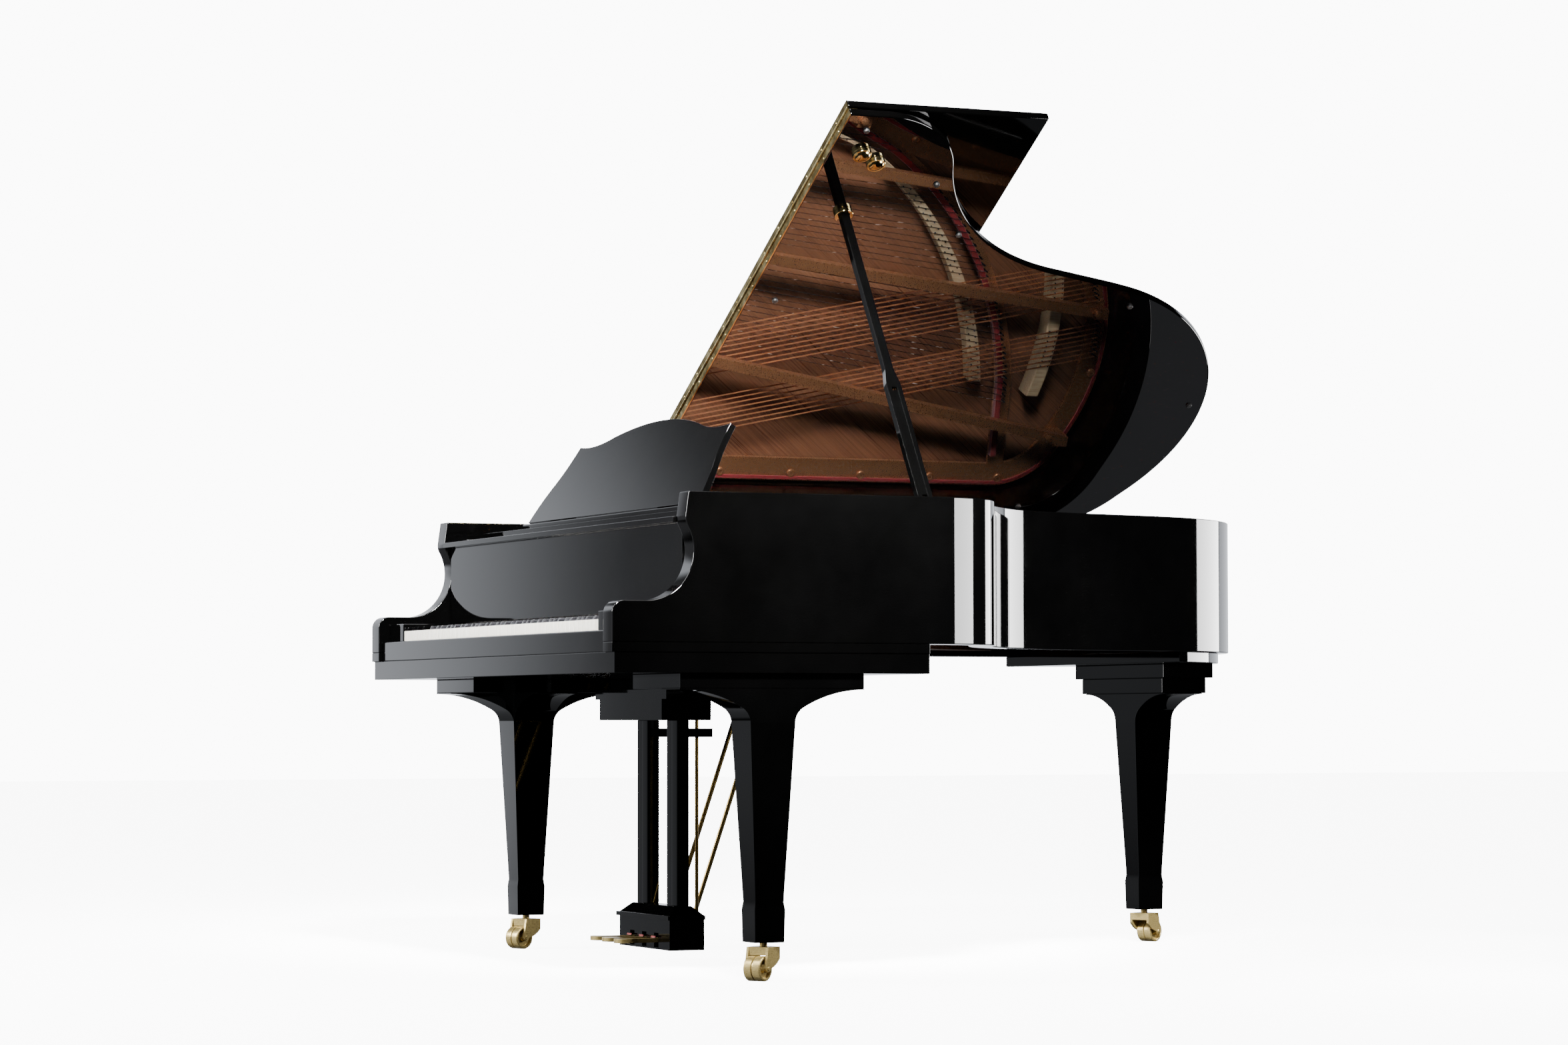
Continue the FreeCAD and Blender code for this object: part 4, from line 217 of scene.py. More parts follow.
class MaterialShop:
    """Makes each finish once."""

    NOISE_ROUGHNESS = 0.6
    NOISE_SPAN = (0.3, 0.7)
    COAT_ROUGHNESS = 0.12
    BUMP_STRENGTH = 0.6

    def __init__(self) -> None:
        """Start with no materials."""
        self.made: Dict[str, bpy.types.Material] = {}

    def get(self, finish: Finish) -> bpy.types.Material:
        """Return the material of a finish, made on first use.

        Args:
            finish: The finish to make.

        Returns:
            The Blender material.
        """
        if finish.name not in self.made:
            self.made[finish.name] = self._make(finish)
        return self.made[finish.name]

    def _pattern(self, tree: Tree, finish: Finish) -> Socket:
        """Add the finish's pattern.

        Args:
            tree: The material's node tree.
            finish: The finish.

        Returns:
            A socket from 0 to 1.
        """
        coords = add_node(tree, "ShaderNodeTexCoord")
        turned = add_node(tree, "ShaderNodeMapping", {
            "Vector": coords.outputs["Object"], "Rotation": (0, 0, math.radians(finish.turn))})
        scale = tuple(1 / (size * MM) for size in finish.size_mm)
        place = add_node(tree, "ShaderNodeMapping", {"Vector": turned.outputs["Vector"], "Scale": scale})
        inputs = {"Vector": place.outputs["Vector"], "Scale": 1.0}
        if finish.pattern == Pattern.WOUND:
            texture = add_node(tree, "ShaderNodeTexWave", inputs, bands_direction="Y", wave_profile="SIN")
        else:
            inputs.update({"Detail": finish.pattern.detail, "Roughness": self.NOISE_ROUGHNESS})
            texture = add_node(tree, "ShaderNodeTexNoise", inputs)
        spread = add_node(tree, "ShaderNodeMapRange", {
            "Value": texture.outputs["Fac"], "From Min": self.NOISE_SPAN[0], "From Max": self.NOISE_SPAN[1]})
        return spread.outputs["Result"]

    def _make(self, finish: Finish) -> bpy.types.Material:
        """Build a finish as a node material.

        Args:
            finish: The finish.

        Returns:
            The Blender material.
        """
        material = bpy.data.materials.new(finish.name)
        material.use_nodes = True
        tree = material.node_tree
        shader = tree.nodes["Principled BSDF"]
        pattern = self._pattern(tree, finish)
        colour = add_node(tree, "ShaderNodeMix", {
            0: pattern, 6: linear(finish.dark), 7: linear(finish.light)}, data_type="RGBA")
        tree.links.new(colour.outputs[2], shader.inputs["Base Color"])
        rough = add_node(tree, "ShaderNodeMapRange", {
            "Value": pattern, "To Min": finish.rough[0], "To Max": finish.rough[1]})
        tree.links.new(rough.outputs["Result"], shader.inputs["Roughness"])
        shader.inputs["Metallic"].default_value = finish.metallic
        shader.inputs["Specular IOR Level"].default_value = finish.specular
        shader.inputs["Coat Weight"].default_value = finish.coat
        shader.inputs["Coat Roughness"].default_value = self.COAT_ROUGHNESS
        shader.inputs["Sheen Weight"].default_value = finish.sheen
        if finish.bump_mm:
            bump = add_node(tree, "ShaderNodeBump", {
                "Height": pattern, "Distance": finish.bump_mm * MM, "Strength": self.BUMP_STRENGTH})
            tree.links.new(bump.outputs["Normal"], shader.inputs["Normal"])
        return material


SHOP = MaterialShop()
BODY_OF: Dict[str, str] = {
    node: body for body, nodes in frame["record"]["behaviour"]["bodies"].items() for node in nodes}


# Mesh tools


def add_prism(bm: Mesh, loop: Sequence[Vector], along: Vector) -> None:
    """Add a closed prism.

    Args:
        bm: The mesh to add to.
        loop: Corners of one end, in order.
        along: From that end to the other.
    """
    face = bm.faces.new([bm.verts.new(p) for p in loop])
    made = bmesh.ops.extrude_face_region(bm, geom=[face])["geom"]
    far = [part for part in made if isinstance(part, bmesh.types.BMVert)]
    bmesh.ops.translate(bm, verts=far, vec=along)


def add_block(bm: Mesh, low: Vector, high: Vector) -> None:
    """Add a block between two corners.

    Args:
        bm: The mesh to add to.
        low: Lowest corner.
        high: Highest corner.
    """
    size = Matrix.Diagonal((high - low).to_4d())
    bmesh.ops.create_cube(bm, size=1.0, matrix=Matrix.Translation((low + high) / 2) @ size)


def add_lathe(bm: Mesh, profile: Profile, origin: Vector, axis: Vector, segments: int,
              ring: bool = False) -> None:
    """Add a turned solid.

    Args:
        bm: The mesh to add to.
        profile: Radius and distance along the axis in millimetres, from one end to the other.
        origin: Where the axis starts.
        axis: The axis.
        segments: Sides of the turned surface.
        ring: Whether the profile is the whole section of a ring.
    """
    turned = bmesh.new()
    line = [turned.verts.new((radius * MM, 0, along * MM)) for radius, along in profile]
    edges = [turned.edges.new(pair) for pair in zip(line, line[1:] + line[:1] * ring)]
    bmesh.ops.spin(turned, geom=line + edges, cent=(0, 0, 0), axis=UP, angle=2 * math.pi, steps=segments,
                   use_merge=True)
    if not ring:
        bmesh.ops.holes_fill(turned, edges=turned.edges, sides=0)
    axis = axis.normalized()
    side = axis.orthogonal().normalized()
    basis = Matrix((side, axis.cross(side), axis)).transposed()
    turned.transform(Matrix.Translation(origin) @ basis.to_4x4())
    carrier = bpy.data.meshes.new("turned")
    turned.to_mesh(carrier)
    turned.free()
    bm.from_mesh(carrier)
    bpy.data.meshes.remove(carrier)


def add_band(bm: Mesh, line: Sequence[Plan], width: float, low: float, high: float) -> None:
    """Add an upright band along a line in plan.

    Args:
        bm: The mesh to add to.
        line: Middle of the band in millimetres.
        width: Its width in millimetres.
        low: Height of its underside in millimetres.
        high: Height of its top in millimetres.
    """
    left, right = [], []
    for i, here in enumerate(line):
        along = Vector(line[min(i + 1, len(line) - 1)]) - Vector(line[max(i - 1, 0)])
        across = along.orthogonal().normalized() * (width / 2)
        left.append(Vector(here) + across)
        right.insert(0, Vector(here) - across)
    add_prism(bm, [at(p.x, p.y, low) for p in left + right], UP * (high - low) * MM)


def ease_edges(bm: Mesh, width_mm: float, segments: int, angle: float = 28) -> None:
    """Round the edges that turn more than an angle.

    Args:
        bm: The mesh.
        width_mm: Width of the rounding.
        segments: Faces across the rounding.
        angle: Least turn in degrees.
    """
    bmesh.ops.recalc_face_normals(bm, faces=bm.faces)
    limit = math.radians(angle)
    edges = [e for e in bm.edges if len(e.link_faces) == 2 and e.calc_face_angle(0) > limit]
    bmesh.ops.bevel(bm, geom=edges, offset=width_mm * MM, offset_type="OFFSET", segments=segments,
                    profile=0.5, affect="EDGES", clamp_overlap=True, material=-1)


def arc_line(start: Plan, end: Plan, radius: float, steps: int) -> List[Plan]:
    """Return points along the short arc between two places.

    Args:
        start: First place.
        end: Last place.
        radius: Radius of the arc; a negative one turns clockwise.
        steps: Number of pieces.

    Returns:
        The points, both ends included.
    """
    a, b = Vector(start), Vector(end)
    chord = b - a
    side = 1 if radius > 0 else -1
    rise = math.sqrt(max(radius * radius - chord.length_squared / 4, 0))
    centre = (a + b) / 2 + Vector((-chord.y, chord.x)) / chord.length * side * rise
    first = math.atan2(a.y - centre.y, a.x - centre.x)
    swing = 2 * math.asin(min(chord.length / 2 / abs(radius), 1.0)) * side
    turns = [first + swing * i / steps for i in range(steps + 1)]
    return [(centre.x + abs(radius) * math.cos(a), centre.y + abs(radius) * math.sin(a)) for a in turns]


class Workshop:
    """Turns meshes into pieces that ride on the frame's bodies."""

    FLAT = math.radians(0.6)
    NORMAL_WEIGHT = 100

    def __init__(self) -> None:
        """Start with no pieces."""
        self.made: List[str] = []

    def piece(self, name: str, bm: Mesh, finish: Finish, body: str,
              replaces: Iterable[str] = (), smooth: float = 38) -> bpy.types.Object:
        """Make a piece of the object.

        Args:
            name: Its name.
            bm: Its mesh, which is freed.
            finish: Its material.
            body: The body that it rides on.
            replaces: CAD nodes that it stands for.
            smooth: Turn in degrees below which edges look smooth.

        Returns:
            The new object.
        """
        bmesh.ops.recalc_face_normals(bm, faces=bm.faces)
        mesh = bpy.data.meshes.new(name)
        bm.to_mesh(mesh)
        bm.free()
        for polygon in mesh.polygons:
            polygon.use_smooth = True
        mesh.set_sharp_from_angle(angle=math.radians(smooth))
        mesh.materials.append(SHOP.get(finish))
        thing = bpy.data.objects.new(name, mesh)
        bpy.context.scene.collection.objects.link(thing)
        normals = thing.modifiers.new("even_normals", "WEIGHTED_NORMAL")
        normals.keep_sharp = True
        normals.weight = self.NORMAL_WEIGHT
        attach(thing, body)
        for node in replaces:
            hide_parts(node)
        self.made.append(name)
        return thing

    def solid(self, node: str) -> Mesh:
        """Copy a CAD node's mesh with its flat faces joined.

        Args:
            node: The node's name.

        Returns:
            The copy.
        """
        bm = bmesh.new()
        bm.from_mesh(frame["nodes"][node].data)
        bmesh.ops.remove_doubles(bm, verts=bm.verts, dist=WELD)
        bmesh.ops.dissolve_limit(bm, angle_limit=self.FLAT, verts=bm.verts, edges=bm.edges)
        return bm

    def dress(self, finish: Finish, ease_mm: float, segments: int, *nodes: str) -> None:
        """Stand copies of CAD nodes in their places, with eased edges.

        Args:
            finish: Their material.
            ease_mm: Width of the eased edges.
            segments: Faces across an eased edge.
            nodes: The nodes' names.
        """
        for node in nodes:
            bm = self.solid(node)
            ease_edges(bm, ease_mm, segments)
            self.piece(node + "_piece", bm, finish, BODY_OF[node], (node,))

    def blocks(self, name: str, spans: Iterable[Span], finish: Finish, ease: Tuple[float, int], body: str,
               replaces: Iterable[str] = ()) -> None:
        """Make one piece of eased blocks.

        Args:
            name: The piece's name.
            spans: Lowest and highest corner of each block.
            finish: Its material.
            ease: Width of the eased edges in millimetres and faces across them.
            body: The body that it rides on.
            replaces: CAD nodes that it stands for.
        """
        bm = bmesh.new()
        for low, high in spans:
            add_block(bm, low, high)
        ease_edges(bm, *ease)
        self.piece(name, bm, finish, body, replaces)

    def paint(self, node: str, finish: Finish) -> None:
        """Give a CAD node that stays in view its material.

        Args:
            node: The node's name.
            finish: Its material.
        """
        mesh = frame["nodes"][node].data
        mesh.materials.clear()
        mesh.materials.append(SHOP.get(finish))

    def islands(self, node: str) -> List[Span]:
        """Return the lowest and the highest corner of each of a node's separate solids."""
        return [(Vector(map(min, *group)), Vector(map(max, *group))) for group in self.groups(node)]

    def groups(self, node: str) -> List[List[Vector]]:
        """Return the corners of a node's separate solids.

        Args:
            node: The node's name.

        Returns:
            One list of places for each solid.
        """
        bm = self.solid(node)
        left = set(bm.verts)
        found = []
        while left:
            seed = left.pop()
            group, queue = [seed], [seed]
            while queue:
                near = {vert for edge in queue.pop().link_edges for vert in edge.verts} & left
                left -= near
                group.extend(near)
                queue.extend(near)
            found.append([v.co.copy() for v in group])
        bm.free()
        return sorted(found, key=lambda g: min(v.x for v in g))


# Case


@dataclass(frozen=True)
class CaseOutline:
    """The one outline of the case: tangent arcs from the treble arm round the tail to the spine.

    Each arc has its radius in millimetres and its turn in degrees.
    """

    half: float = 760.0
    side: float = 724.0
    bend: Plan = (220.0, 70.0)
    waist: Plan = (570.0, 57.0)
    flank_straight: float = 148.0
    flank: Plan = (1650.0, 2.7)
    tail: Plan = (556.0, 100.0)
    corner: float = 250.0
    facet_turn: float = 1.5
    least_facets: int = 3

    def line(self, inset: float, front: float, step: float = 5.0) -> List[Plan]:
        """Return the outline inset from the rim.

        Args:
            inset: Distance inside the rim's outer face in millimetres.
            front: Where both ends start, behind the fronts of the arms.
            step: Longest piece along an arc.

        Returns:
            Points from the treble front round to the bass front.
        """
        half = self.half - inset
        place, heading = Vector((half, self.side)), math.pi / 2
        points: List[Plan] = [(half, front), (half, self.side)]
        corner = self.corner - inset
        # a row without a turn is straight, and without a length too it runs up to the corner;
        # a turn of 0 stands for what is left to the spine
        turns = [(self.bend[0] - inset, self.bend[1]), (self.waist[0] + inset, -self.waist[1]),
                 (self.flank_straight, None), (self.flank[0] - inset, self.flank[1]),
                 (self.tail[0] - inset, self.tail[1]), (None, None), (corner, 0.0)]
        for size, turn in turns:
            along = Vector((math.cos(heading), math.sin(heading)))
            if turn is None:
                room = place.x + half - corner * (1 + math.sin(heading))
                place = place + along * (size if size else -room / math.cos(heading))
                points.append((place.x, place.y))
                continue
            swing = math.radians(turn) if turn else 1.5 * math.pi - heading
            side = 1 if swing > 0 else -1
            centre = place + Vector((-along.y, along.x)) * side * size
            first = math.atan2(place.y - centre.y, place.x - centre.x)
            count = max(self.least_facets, math.ceil(abs(swing) * size / step),
                        math.ceil(abs(swing) / math.radians(self.facet_turn)))
            for i in range(1, count + 1):
                a = first + swing * i / count
                points.append((centre.x + size * math.cos(a), centre.y + size * math.sin(a)))
            heading += swing
            place = Vector(points[-1])
        points.append((-half, front))
        return points


@dataclass(frozen=True)
class Case:
    """The rim with its scrolled arms, keybed, shelf and wooden structure, in millimetres and degrees.

    The arm's facets are counted on its corner, its scroll and its lip.
    """

    shop: Workshop
    outline: CaseOutline
    wall: float = 51.0
    bottom: float = 691.0
    top: float = 998.0
    arm_top: float = 775.0
    arm_corner: float = 25.0
    arm_flat: float = 75.0
    scroll: float = 103.0
    scroll_turn: float = 30.0
    lip: float = 30.0
    lip_lean: float = 8.0
    arm_facets: Tuple[int, int, int] = (10, 40, 8)
    join: float = 330.0
    ease: float = 2.2

    def build(self) -> None:
        """Make every piece of the case."""
        self.rim()
        for node, ease in (("keybed", 3.0), ("key_slip", 2.5), ("key_blocks", 2.0), ("front_shelf", 2.5),
                           ("leg_blocks", 1.5)):
            self.shop.dress(Finishes.POLISHED, ease, 2, node)
        self.shop.dress(Finishes.MAPLE, 1.5, 2, "inner_rim", "belly_rail", "case_beams", "pin_block")
        self.shop.dress(Finishes.SPRUCE, 1.0, 2, "soundboard")
        self.shop.dress(Finishes.SPRUCE, 2.5, 2, "soundboard_ribs")
        self.shop.paint("key_frame", Finishes.MAPLE)

    def cheek(self) -> List[Plan]:
        """Return the scrolled edge of an arm.

        Returns:
            Points (back, up) from the front of the keybed to the top of the rim.
        """
        turn, lean = math.radians(self.scroll_turn), math.radians(self.lip_lean)
        end = (self.arm_flat + self.scroll * math.cos(turn),
               self.arm_top + self.scroll * (1 + math.sin(turn)))
        lip = (end[0] + self.lip * (math.cos(turn) - math.cos(lean)),
               end[1] + self.lip * (math.sin(turn) + math.sin(lean)))
        corner = (0, self.arm_top - self.arm_corner), (self.arm_corner, self.arm_top)
        line = arc_line(*corner, -self.arm_corner, self.arm_facets[0])
        line += arc_line((self.arm_flat, self.arm_top), end, self.scroll, self.arm_facets[1])
        line += arc_line(end, lip, -self.lip, self.arm_facets[2])[1:]
        line.append((lip[0] + (self.top - lip[1]) * math.tan(lean), self.top))
        return line

    def rim(self) -> None:
        """Make the outer rim with both arms as one skin."""
        bm = bmesh.new()
        ring = self.outline.line(0, self.join) + self.outline.line(self.wall, self.join)[::-1]
        add_prism(bm, [at(x, y, self.bottom) for x, y in ring], UP * (self.top - self.bottom) * MM)
        profile = [(0, self.bottom)] + self.cheek() + [(self.join, self.top), (self.join, self.bottom)]
        for side in (1, -1):
            loop = [at(side * self.outline.half, y, z) for y, z in profile]
            add_prism(bm, loop, RIGHT * (-side * self.wall * MM))
        # the faces between the arms and the band go, and the three meshes become one
        seam = FRONT + self.join * MM
        inside = [f for f in bm.faces if all(abs(v.co.y - seam) < WELD for v in f.verts)]
        bmesh.ops.delete(bm, geom=inside, context="FACES_ONLY")
        bmesh.ops.remove_doubles(bm, verts=bm.verts, dist=WELD)
        ease_edges(bm, self.ease, 3)
        self.shop.piece("outer_rim_piece", bm, Finishes.POLISHED, "case", ("outer_rim",))


# Lid


@dataclass(frozen=True)
class Lid:
    """The lid, its flap, hinges, cups and buffers, in millimetres and degrees.

    The lid's own frame has the hinge's axis at 0 and the underside at height 0, before the lid is raised.
    """

    shop: Workshop
    outline: CaseOutline
    angle: float = 32.0
    hinge_side: float = -778.0
    hinge_up: float = 1001.0
    overhang: float = 12.0
    front: float = 633.0
    wall: float = 17.0
    ease: float = 4.0
    under_share: float = 0.99
    flap_back: float = 632.0
    flap_up: float = 20.0
    hinge_ends: Plan = (7.0, 1549.0)
    leaf_reach: float = 22.0
    leaf_wall: float = 1.0
    knuckle: float = 2.7
    knuckle_length: float = 30.0
    knuckle_ease: float = 0.54
    knuckle_gap: float = 0.3
    screw_back: float = 13.0
    screw: Profile = ((3.4, 0), (3.0, 0.5), (1.4, 0.9))
    edge_trim: float = 0.6
    edge_proud: float = 0.4
    edge_depth: float = 2.0
    edge_screws: int = 17
    edge_screw_start: float = 30.0
    edge_screw: Profile = ((3.2, 0), (2.4, 0.4))
    dome: Profile = ((20.6, 0), (21.3, 1.5), (21.3, 4), (20, 8), (16.5, 12), (11, 14.6), (5, 15.8), (0.5, 16))
    dome_foot: float = 5.5
    buffer: Profile = ((7, 0), (7, 3.2), (5.6, 5), (2, 5.4))
    buffer_places: Sequence[Plan] = ((1500, 690), (1335, 925), (1165, 1050), (935, 1590), (560, 1925),
                                     (120, 1650), (900, 700))

    @property
    def hang(self) -> Matrix:
        """Return the lift and turn that raise the lid from its own frame."""
        turn = Matrix.Rotation(math.radians(self.angle), 4, AHEAD)
        return Matrix.Translation(Vector((self.hinge_side, 0, self.hinge_up)) * MM) @ turn

    @property
    def down(self) -> Vector:
        """Return the way the raised lid's underside faces."""
        return self.hang.to_3x3() @ -UP

    def build(self) -> None:
        """Make the lid's pieces."""
        bm = bmesh.new()
        line = self.outline.line(-self.overhang, self.front)
        add_prism(bm, [at(x - self.hinge_side, y, 0) for x, y in line], UP * self.wall * MM)
        ease_edges(bm, self.ease, 4)
        bm.transform(self.hang)
        lid = self.shop.piece("lid_main_piece", bm, Finishes.POLISHED, "lid", ("lid_main",))
        lid.data.materials.append(SHOP.get(Finishes.MIRROR))
        down = self.down
        for polygon in lid.data.polygons:
            if polygon.normal.dot(down) > self.under_share:
                polygon.material_index = 1
        self.shop.dress(Finishes.POLISHED, self.ease, 4, "lid_flap")
        self.piano_hinge()
        self.buffers()
        self.spare_cups()
        self.shop.dress(Finishes.POLISHED_BRASS, 1.2, 3, "lid_cups")
        self.shop.dress(Finishes.BRASS, 0.6, 2, "lid_hinge_leaves", "rim_hinge_brackets")

    def piano_hinge(self) -> None:
        """Make the continuous hinge between lid and flap, with its knuckles, leaves and screws."""
        bm = bmesh.new()
        start, end = self.hinge_ends
        top = self.wall + self.leaf_wall
        add_block(bm, at(start, self.flap_back, self.wall), at(end, self.front + self.leaf_reach, top))
        count = int((end - start) / self.knuckle_length)
        pitch = (end - start) / count
        long, ease = pitch - 2 * self.knuckle_gap, self.knuckle_ease
        barrel = ((self.knuckle - ease, 0), (self.knuckle, ease), (self.knuckle, long - ease),
                  (self.knuckle - ease, long))
        for i in range(count):
            foot = at(start + pitch * i + self.knuckle_gap, self.flap_back, self.flap_up)
            add_lathe(bm, barrel, foot, RIGHT, segments=14)
            if i % 2 == 0:
                head = at(start + pitch * (i + 0.5), self.front + self.screw_back, top)
                add_lathe(bm, self.screw, head, UP, segments=12)
        self.edge_leaf(bm, self.edge_trim, pitch)
        bm.transform(self.hang)
        self.shop.piece("flap_hinge_piece", bm, Finishes.POLISHED_BRASS, "lid", ("flap_hinge",))
        bm = bmesh.new()
        self.edge_leaf(bm, 2 * self.flap_up - self.wall + self.edge_trim, pitch)
        bm.transform(self.hang)
        self.shop.piece("flap_hinge_leaf", bm, Finishes.POLISHED_BRASS, "flap")

    def edge_leaf(self, bm: Mesh, low: float, pitch: float) -> None:
        """Add the hinge's leaf on a front edge, with a screw at every third knuckle.

        Args:
            bm: The mesh, in the lid's own frame.
            low: Height of the leaf's lower edge over the lid's underside.
            pitch: Length of a knuckle.
        """
        tall = self.wall - 2 * self.edge_trim
        face = self.front - self.edge_proud
        add_block(bm, at(self.hinge_ends[0], face, low),
                  at(self.hinge_ends[1], self.front + self.edge_depth, low + tall))
        for i in range(self.edge_screws):
            head = at(self.edge_screw_start + 3 * pitch * i, face, low + tall / 2)
            add_lathe(bm, self.edge_screw, head, AHEAD, segments=14)

    def buffers(self) -> None:
        """Make the small rubber buffers under the lid."""
        bm = bmesh.new()
        for along, back in self.buffer_places:
            add_lathe(bm, self.buffer, at(along, back, 0), -UP, segments=18)
        bm.transform(self.hang)
        self.shop.piece("lid_buffers", bm, Finishes.RUBBER, "lid")

    def spare_cups(self) -> None:
        """Make the turned domes of the two spare cups beside the one in use."""
        bm = bmesh.new()
        boxes = sorted(self.shop.islands("lid_cups"), key=lambda pair: pair[0].z + pair[1].z)
        for low, high in boxes[-2:]:
            foot = (low + high) / 2 - self.down * self.dome_foot * MM
            add_lathe(bm, self.dome, foot, self.down, segments=36)
        self.shop.piece("spare_cup_domes", bm, Finishes.POLISHED_BRASS, "lid")


# Inside


@dataclass(frozen=True)
class Inside:
    """The plate, strings, pins, bridges, dampers and action, in millimetres.

    In a line of arcs, a third number is the radius of the arc that ends there. A line along the rim has its
    inset, its front end and its longest step; a felt its width and height; a bridge pin its distances behind
    the bridge's front edge and beside the string; the action's rail its underside, top and depth; a shank its
    half width and height; a hammer's head its front, its back and its drop from the felt's top.
    """

    shop: Workshop
    outline: CaseOutline
    plate_top: float = 866.0
    strut_top: float = 928.0
    holes: Sequence[Place] = ((545, 660, 42), (507, 770, 36), (469, 880, 30))
    hole_rim: Profile = ((13, 0), (11, 3), (7, 5.2), (3, 4.4), (0.6, 1), (0.6, -9))
    bolt_line: Plan = (76.0, 640.0)
    bolt_step: float = 190.0
    bolt: Profile = ((11, 0), (11, 4), (9.4, 6), (5, 7), (4.6, 5.4))
    knob: Profile = ((12, 0), (12, 3), (8, 4), (8, 9), (10, 12), (9, 17), (4, 19))
    knob_places: Sequence[Plan] = ((-318, 540), (-62, 540), (188, 540), (404, 540), (-545, 1765),
                                   (-210, 1830), (74, 1615), (252, 1095))
    pin_foot: Profile = ((5.2, 0), (5.2, 1.6), (3.4, 1.8), (3.4, 14))
    pin_coil: Profile = ((4.5, 14.6), (4.5, 15.8), (3.9, 16.4), (4.5, 17), (4.5, 18.2), (3.9, 18.8),
                         (4.5, 19.4), (4.5, 20.6), (3.4, 21.2))
    pin_head: Profile = ((3.4, -9), (2.7, -1), (2.2, 0))
    agraffe_back: float = 536.0
    agraffe_foot: float = 4.0
    agraffe: Profile = ((4, -4), (5, -3), (5, 3), (2.5, 4.4))
    hitch_inset: float = 2.0
    hitch_foot: float = 2.4
    hitch: Profile = ((2.2, 0), (1.6, 3))
    long_bridge: Arcs = ((420, 664), (170, 1120, -1300), (-420, 1540, 900))
    long_bridge_top: float = 884.0
    bass_bridge: Arcs = ((-450, 1700), (-80, 1690, -700))
    bass_bridge_top: float = 896.0
    bridge_pins: Sequence[Plan] = ((7.0, 2.6), (27.0, -2.6))
    bridge_pin: Profile = ((1.5, 0), (1.5, 3.4), (0.8, 4.2))
    arc_facets: int = 40
    felt_ease: float = 1.5
    rim_felt_line: Place = (64.0, 700.0, 12.0)
    rim_felt: Plan = (9.0, 5.0)
    rail_felt_line: Arcs = ((485, 768), (172, 1206, -1300), (-415, 1628, 900), (-620, 1652))
    rail_felt: Plan = (15.0, 16.0)
    front_felt_line: Sequence[Plan] = ((-680, 520), (690, 520))
    front_felt: Plan = (12.0, 10.0)
    damper_felt_share: float = 0.38
    damper_felt_inset: float = 0.6
    action_rail: Place = (762.0, 792.0, 30.0)
    rail_least: float = 100.0
    stands: int = 4
    stand_width: float = 14.0
    shank: Plan = (2.6, 6.0)
    head: Place = (16.0, 8.0, 30.0)
    hammer: Profile = ((-17, -36), (-7, -36), (0, -18), (-4, -6), (-12, 0), (-20, -6), (-24, -18))

    def build(self) -> None:
        """Make every piece inside the case."""
        self.shop.dress(Finishes.BRONZE, 3.5, 3, "iron_plate")
        self.shop.paint("plain_strings", Finishes.STEEL)
        self.shop.paint("wound_strings", Finishes.COPPER)
        self.shop.dress(Finishes.PALE_MAPLE, 3.0, 2, "bridges")
        self.plate_details()
        self.pins()
        self.felts()
        self.dampers()
        self.action()

    def plate_details(self) -> None:
        """Make the raised rings round the plate's holes, its bolts and its strut knobs."""
        bm = bmesh.new()
        for side, back, radius in self.holes:
            rim = [(radius + out, up) for out, up in self.hole_rim]
            add_lathe(bm, rim, at(side, back, self.plate_top), UP, segments=48, ring=True)
        self.studs(bm, self.outline.line(*self.bolt_line))
        for side, back in self.knob_places:
            add_lathe(bm, self.knob, at(side, back, self.strut_top), UP, segments=20)
        self.shop.piece("plate_rings_and_bolts", bm, Finishes.BRONZE, "case")

    def studs(self, bm: Mesh, line: Sequence[Plan]) -> None:
        """Set the plate's bolts along a line.

        Args:
            bm: The mesh.
            line: The line in millimetres.
        """
        left = self.bolt_step / 2
        for a, b in zip(map(Vector, line), map(Vector, line[1:])):
            length = (b - a).length
            while left <= length:
                p = a + (b - a) * (left / length)
                add_lathe(bm, self.bolt, at(p.x, p.y, self.plate_top), UP, segments=18)
                left += self.bolt_step
            left -= length

    def runs(self, node: str) -> List[Span]:
        """Return the ends of a node's strings.

        Args:
            node: The strings' node.

        Returns:
            Front end and back end of each, in metres.
        """
        ends = []
        for group in self.shop.groups(node):
            group.sort(key=lambda v: v.y)
            half = len(group) // 2
            front, back = group[:half], group[half:]
            ends.append((sum(front, Vector()) / len(front), sum(back, Vector()) / len(back)))
        return ends

    def curve(self, line: Arcs) -> List[Plan]:
        """Return the points of a line of arcs.

        Args:
            line: Its corners.

        Returns:
            The points.
        """
        points = [tuple(line[0][:2])]
        for here, there in zip(line, line[1:]):
            bent = len(there) == 3
            points += arc_line(here[:2], there[:2], there[2], self.arc_facets)[1:] if bent else [there]
        return points

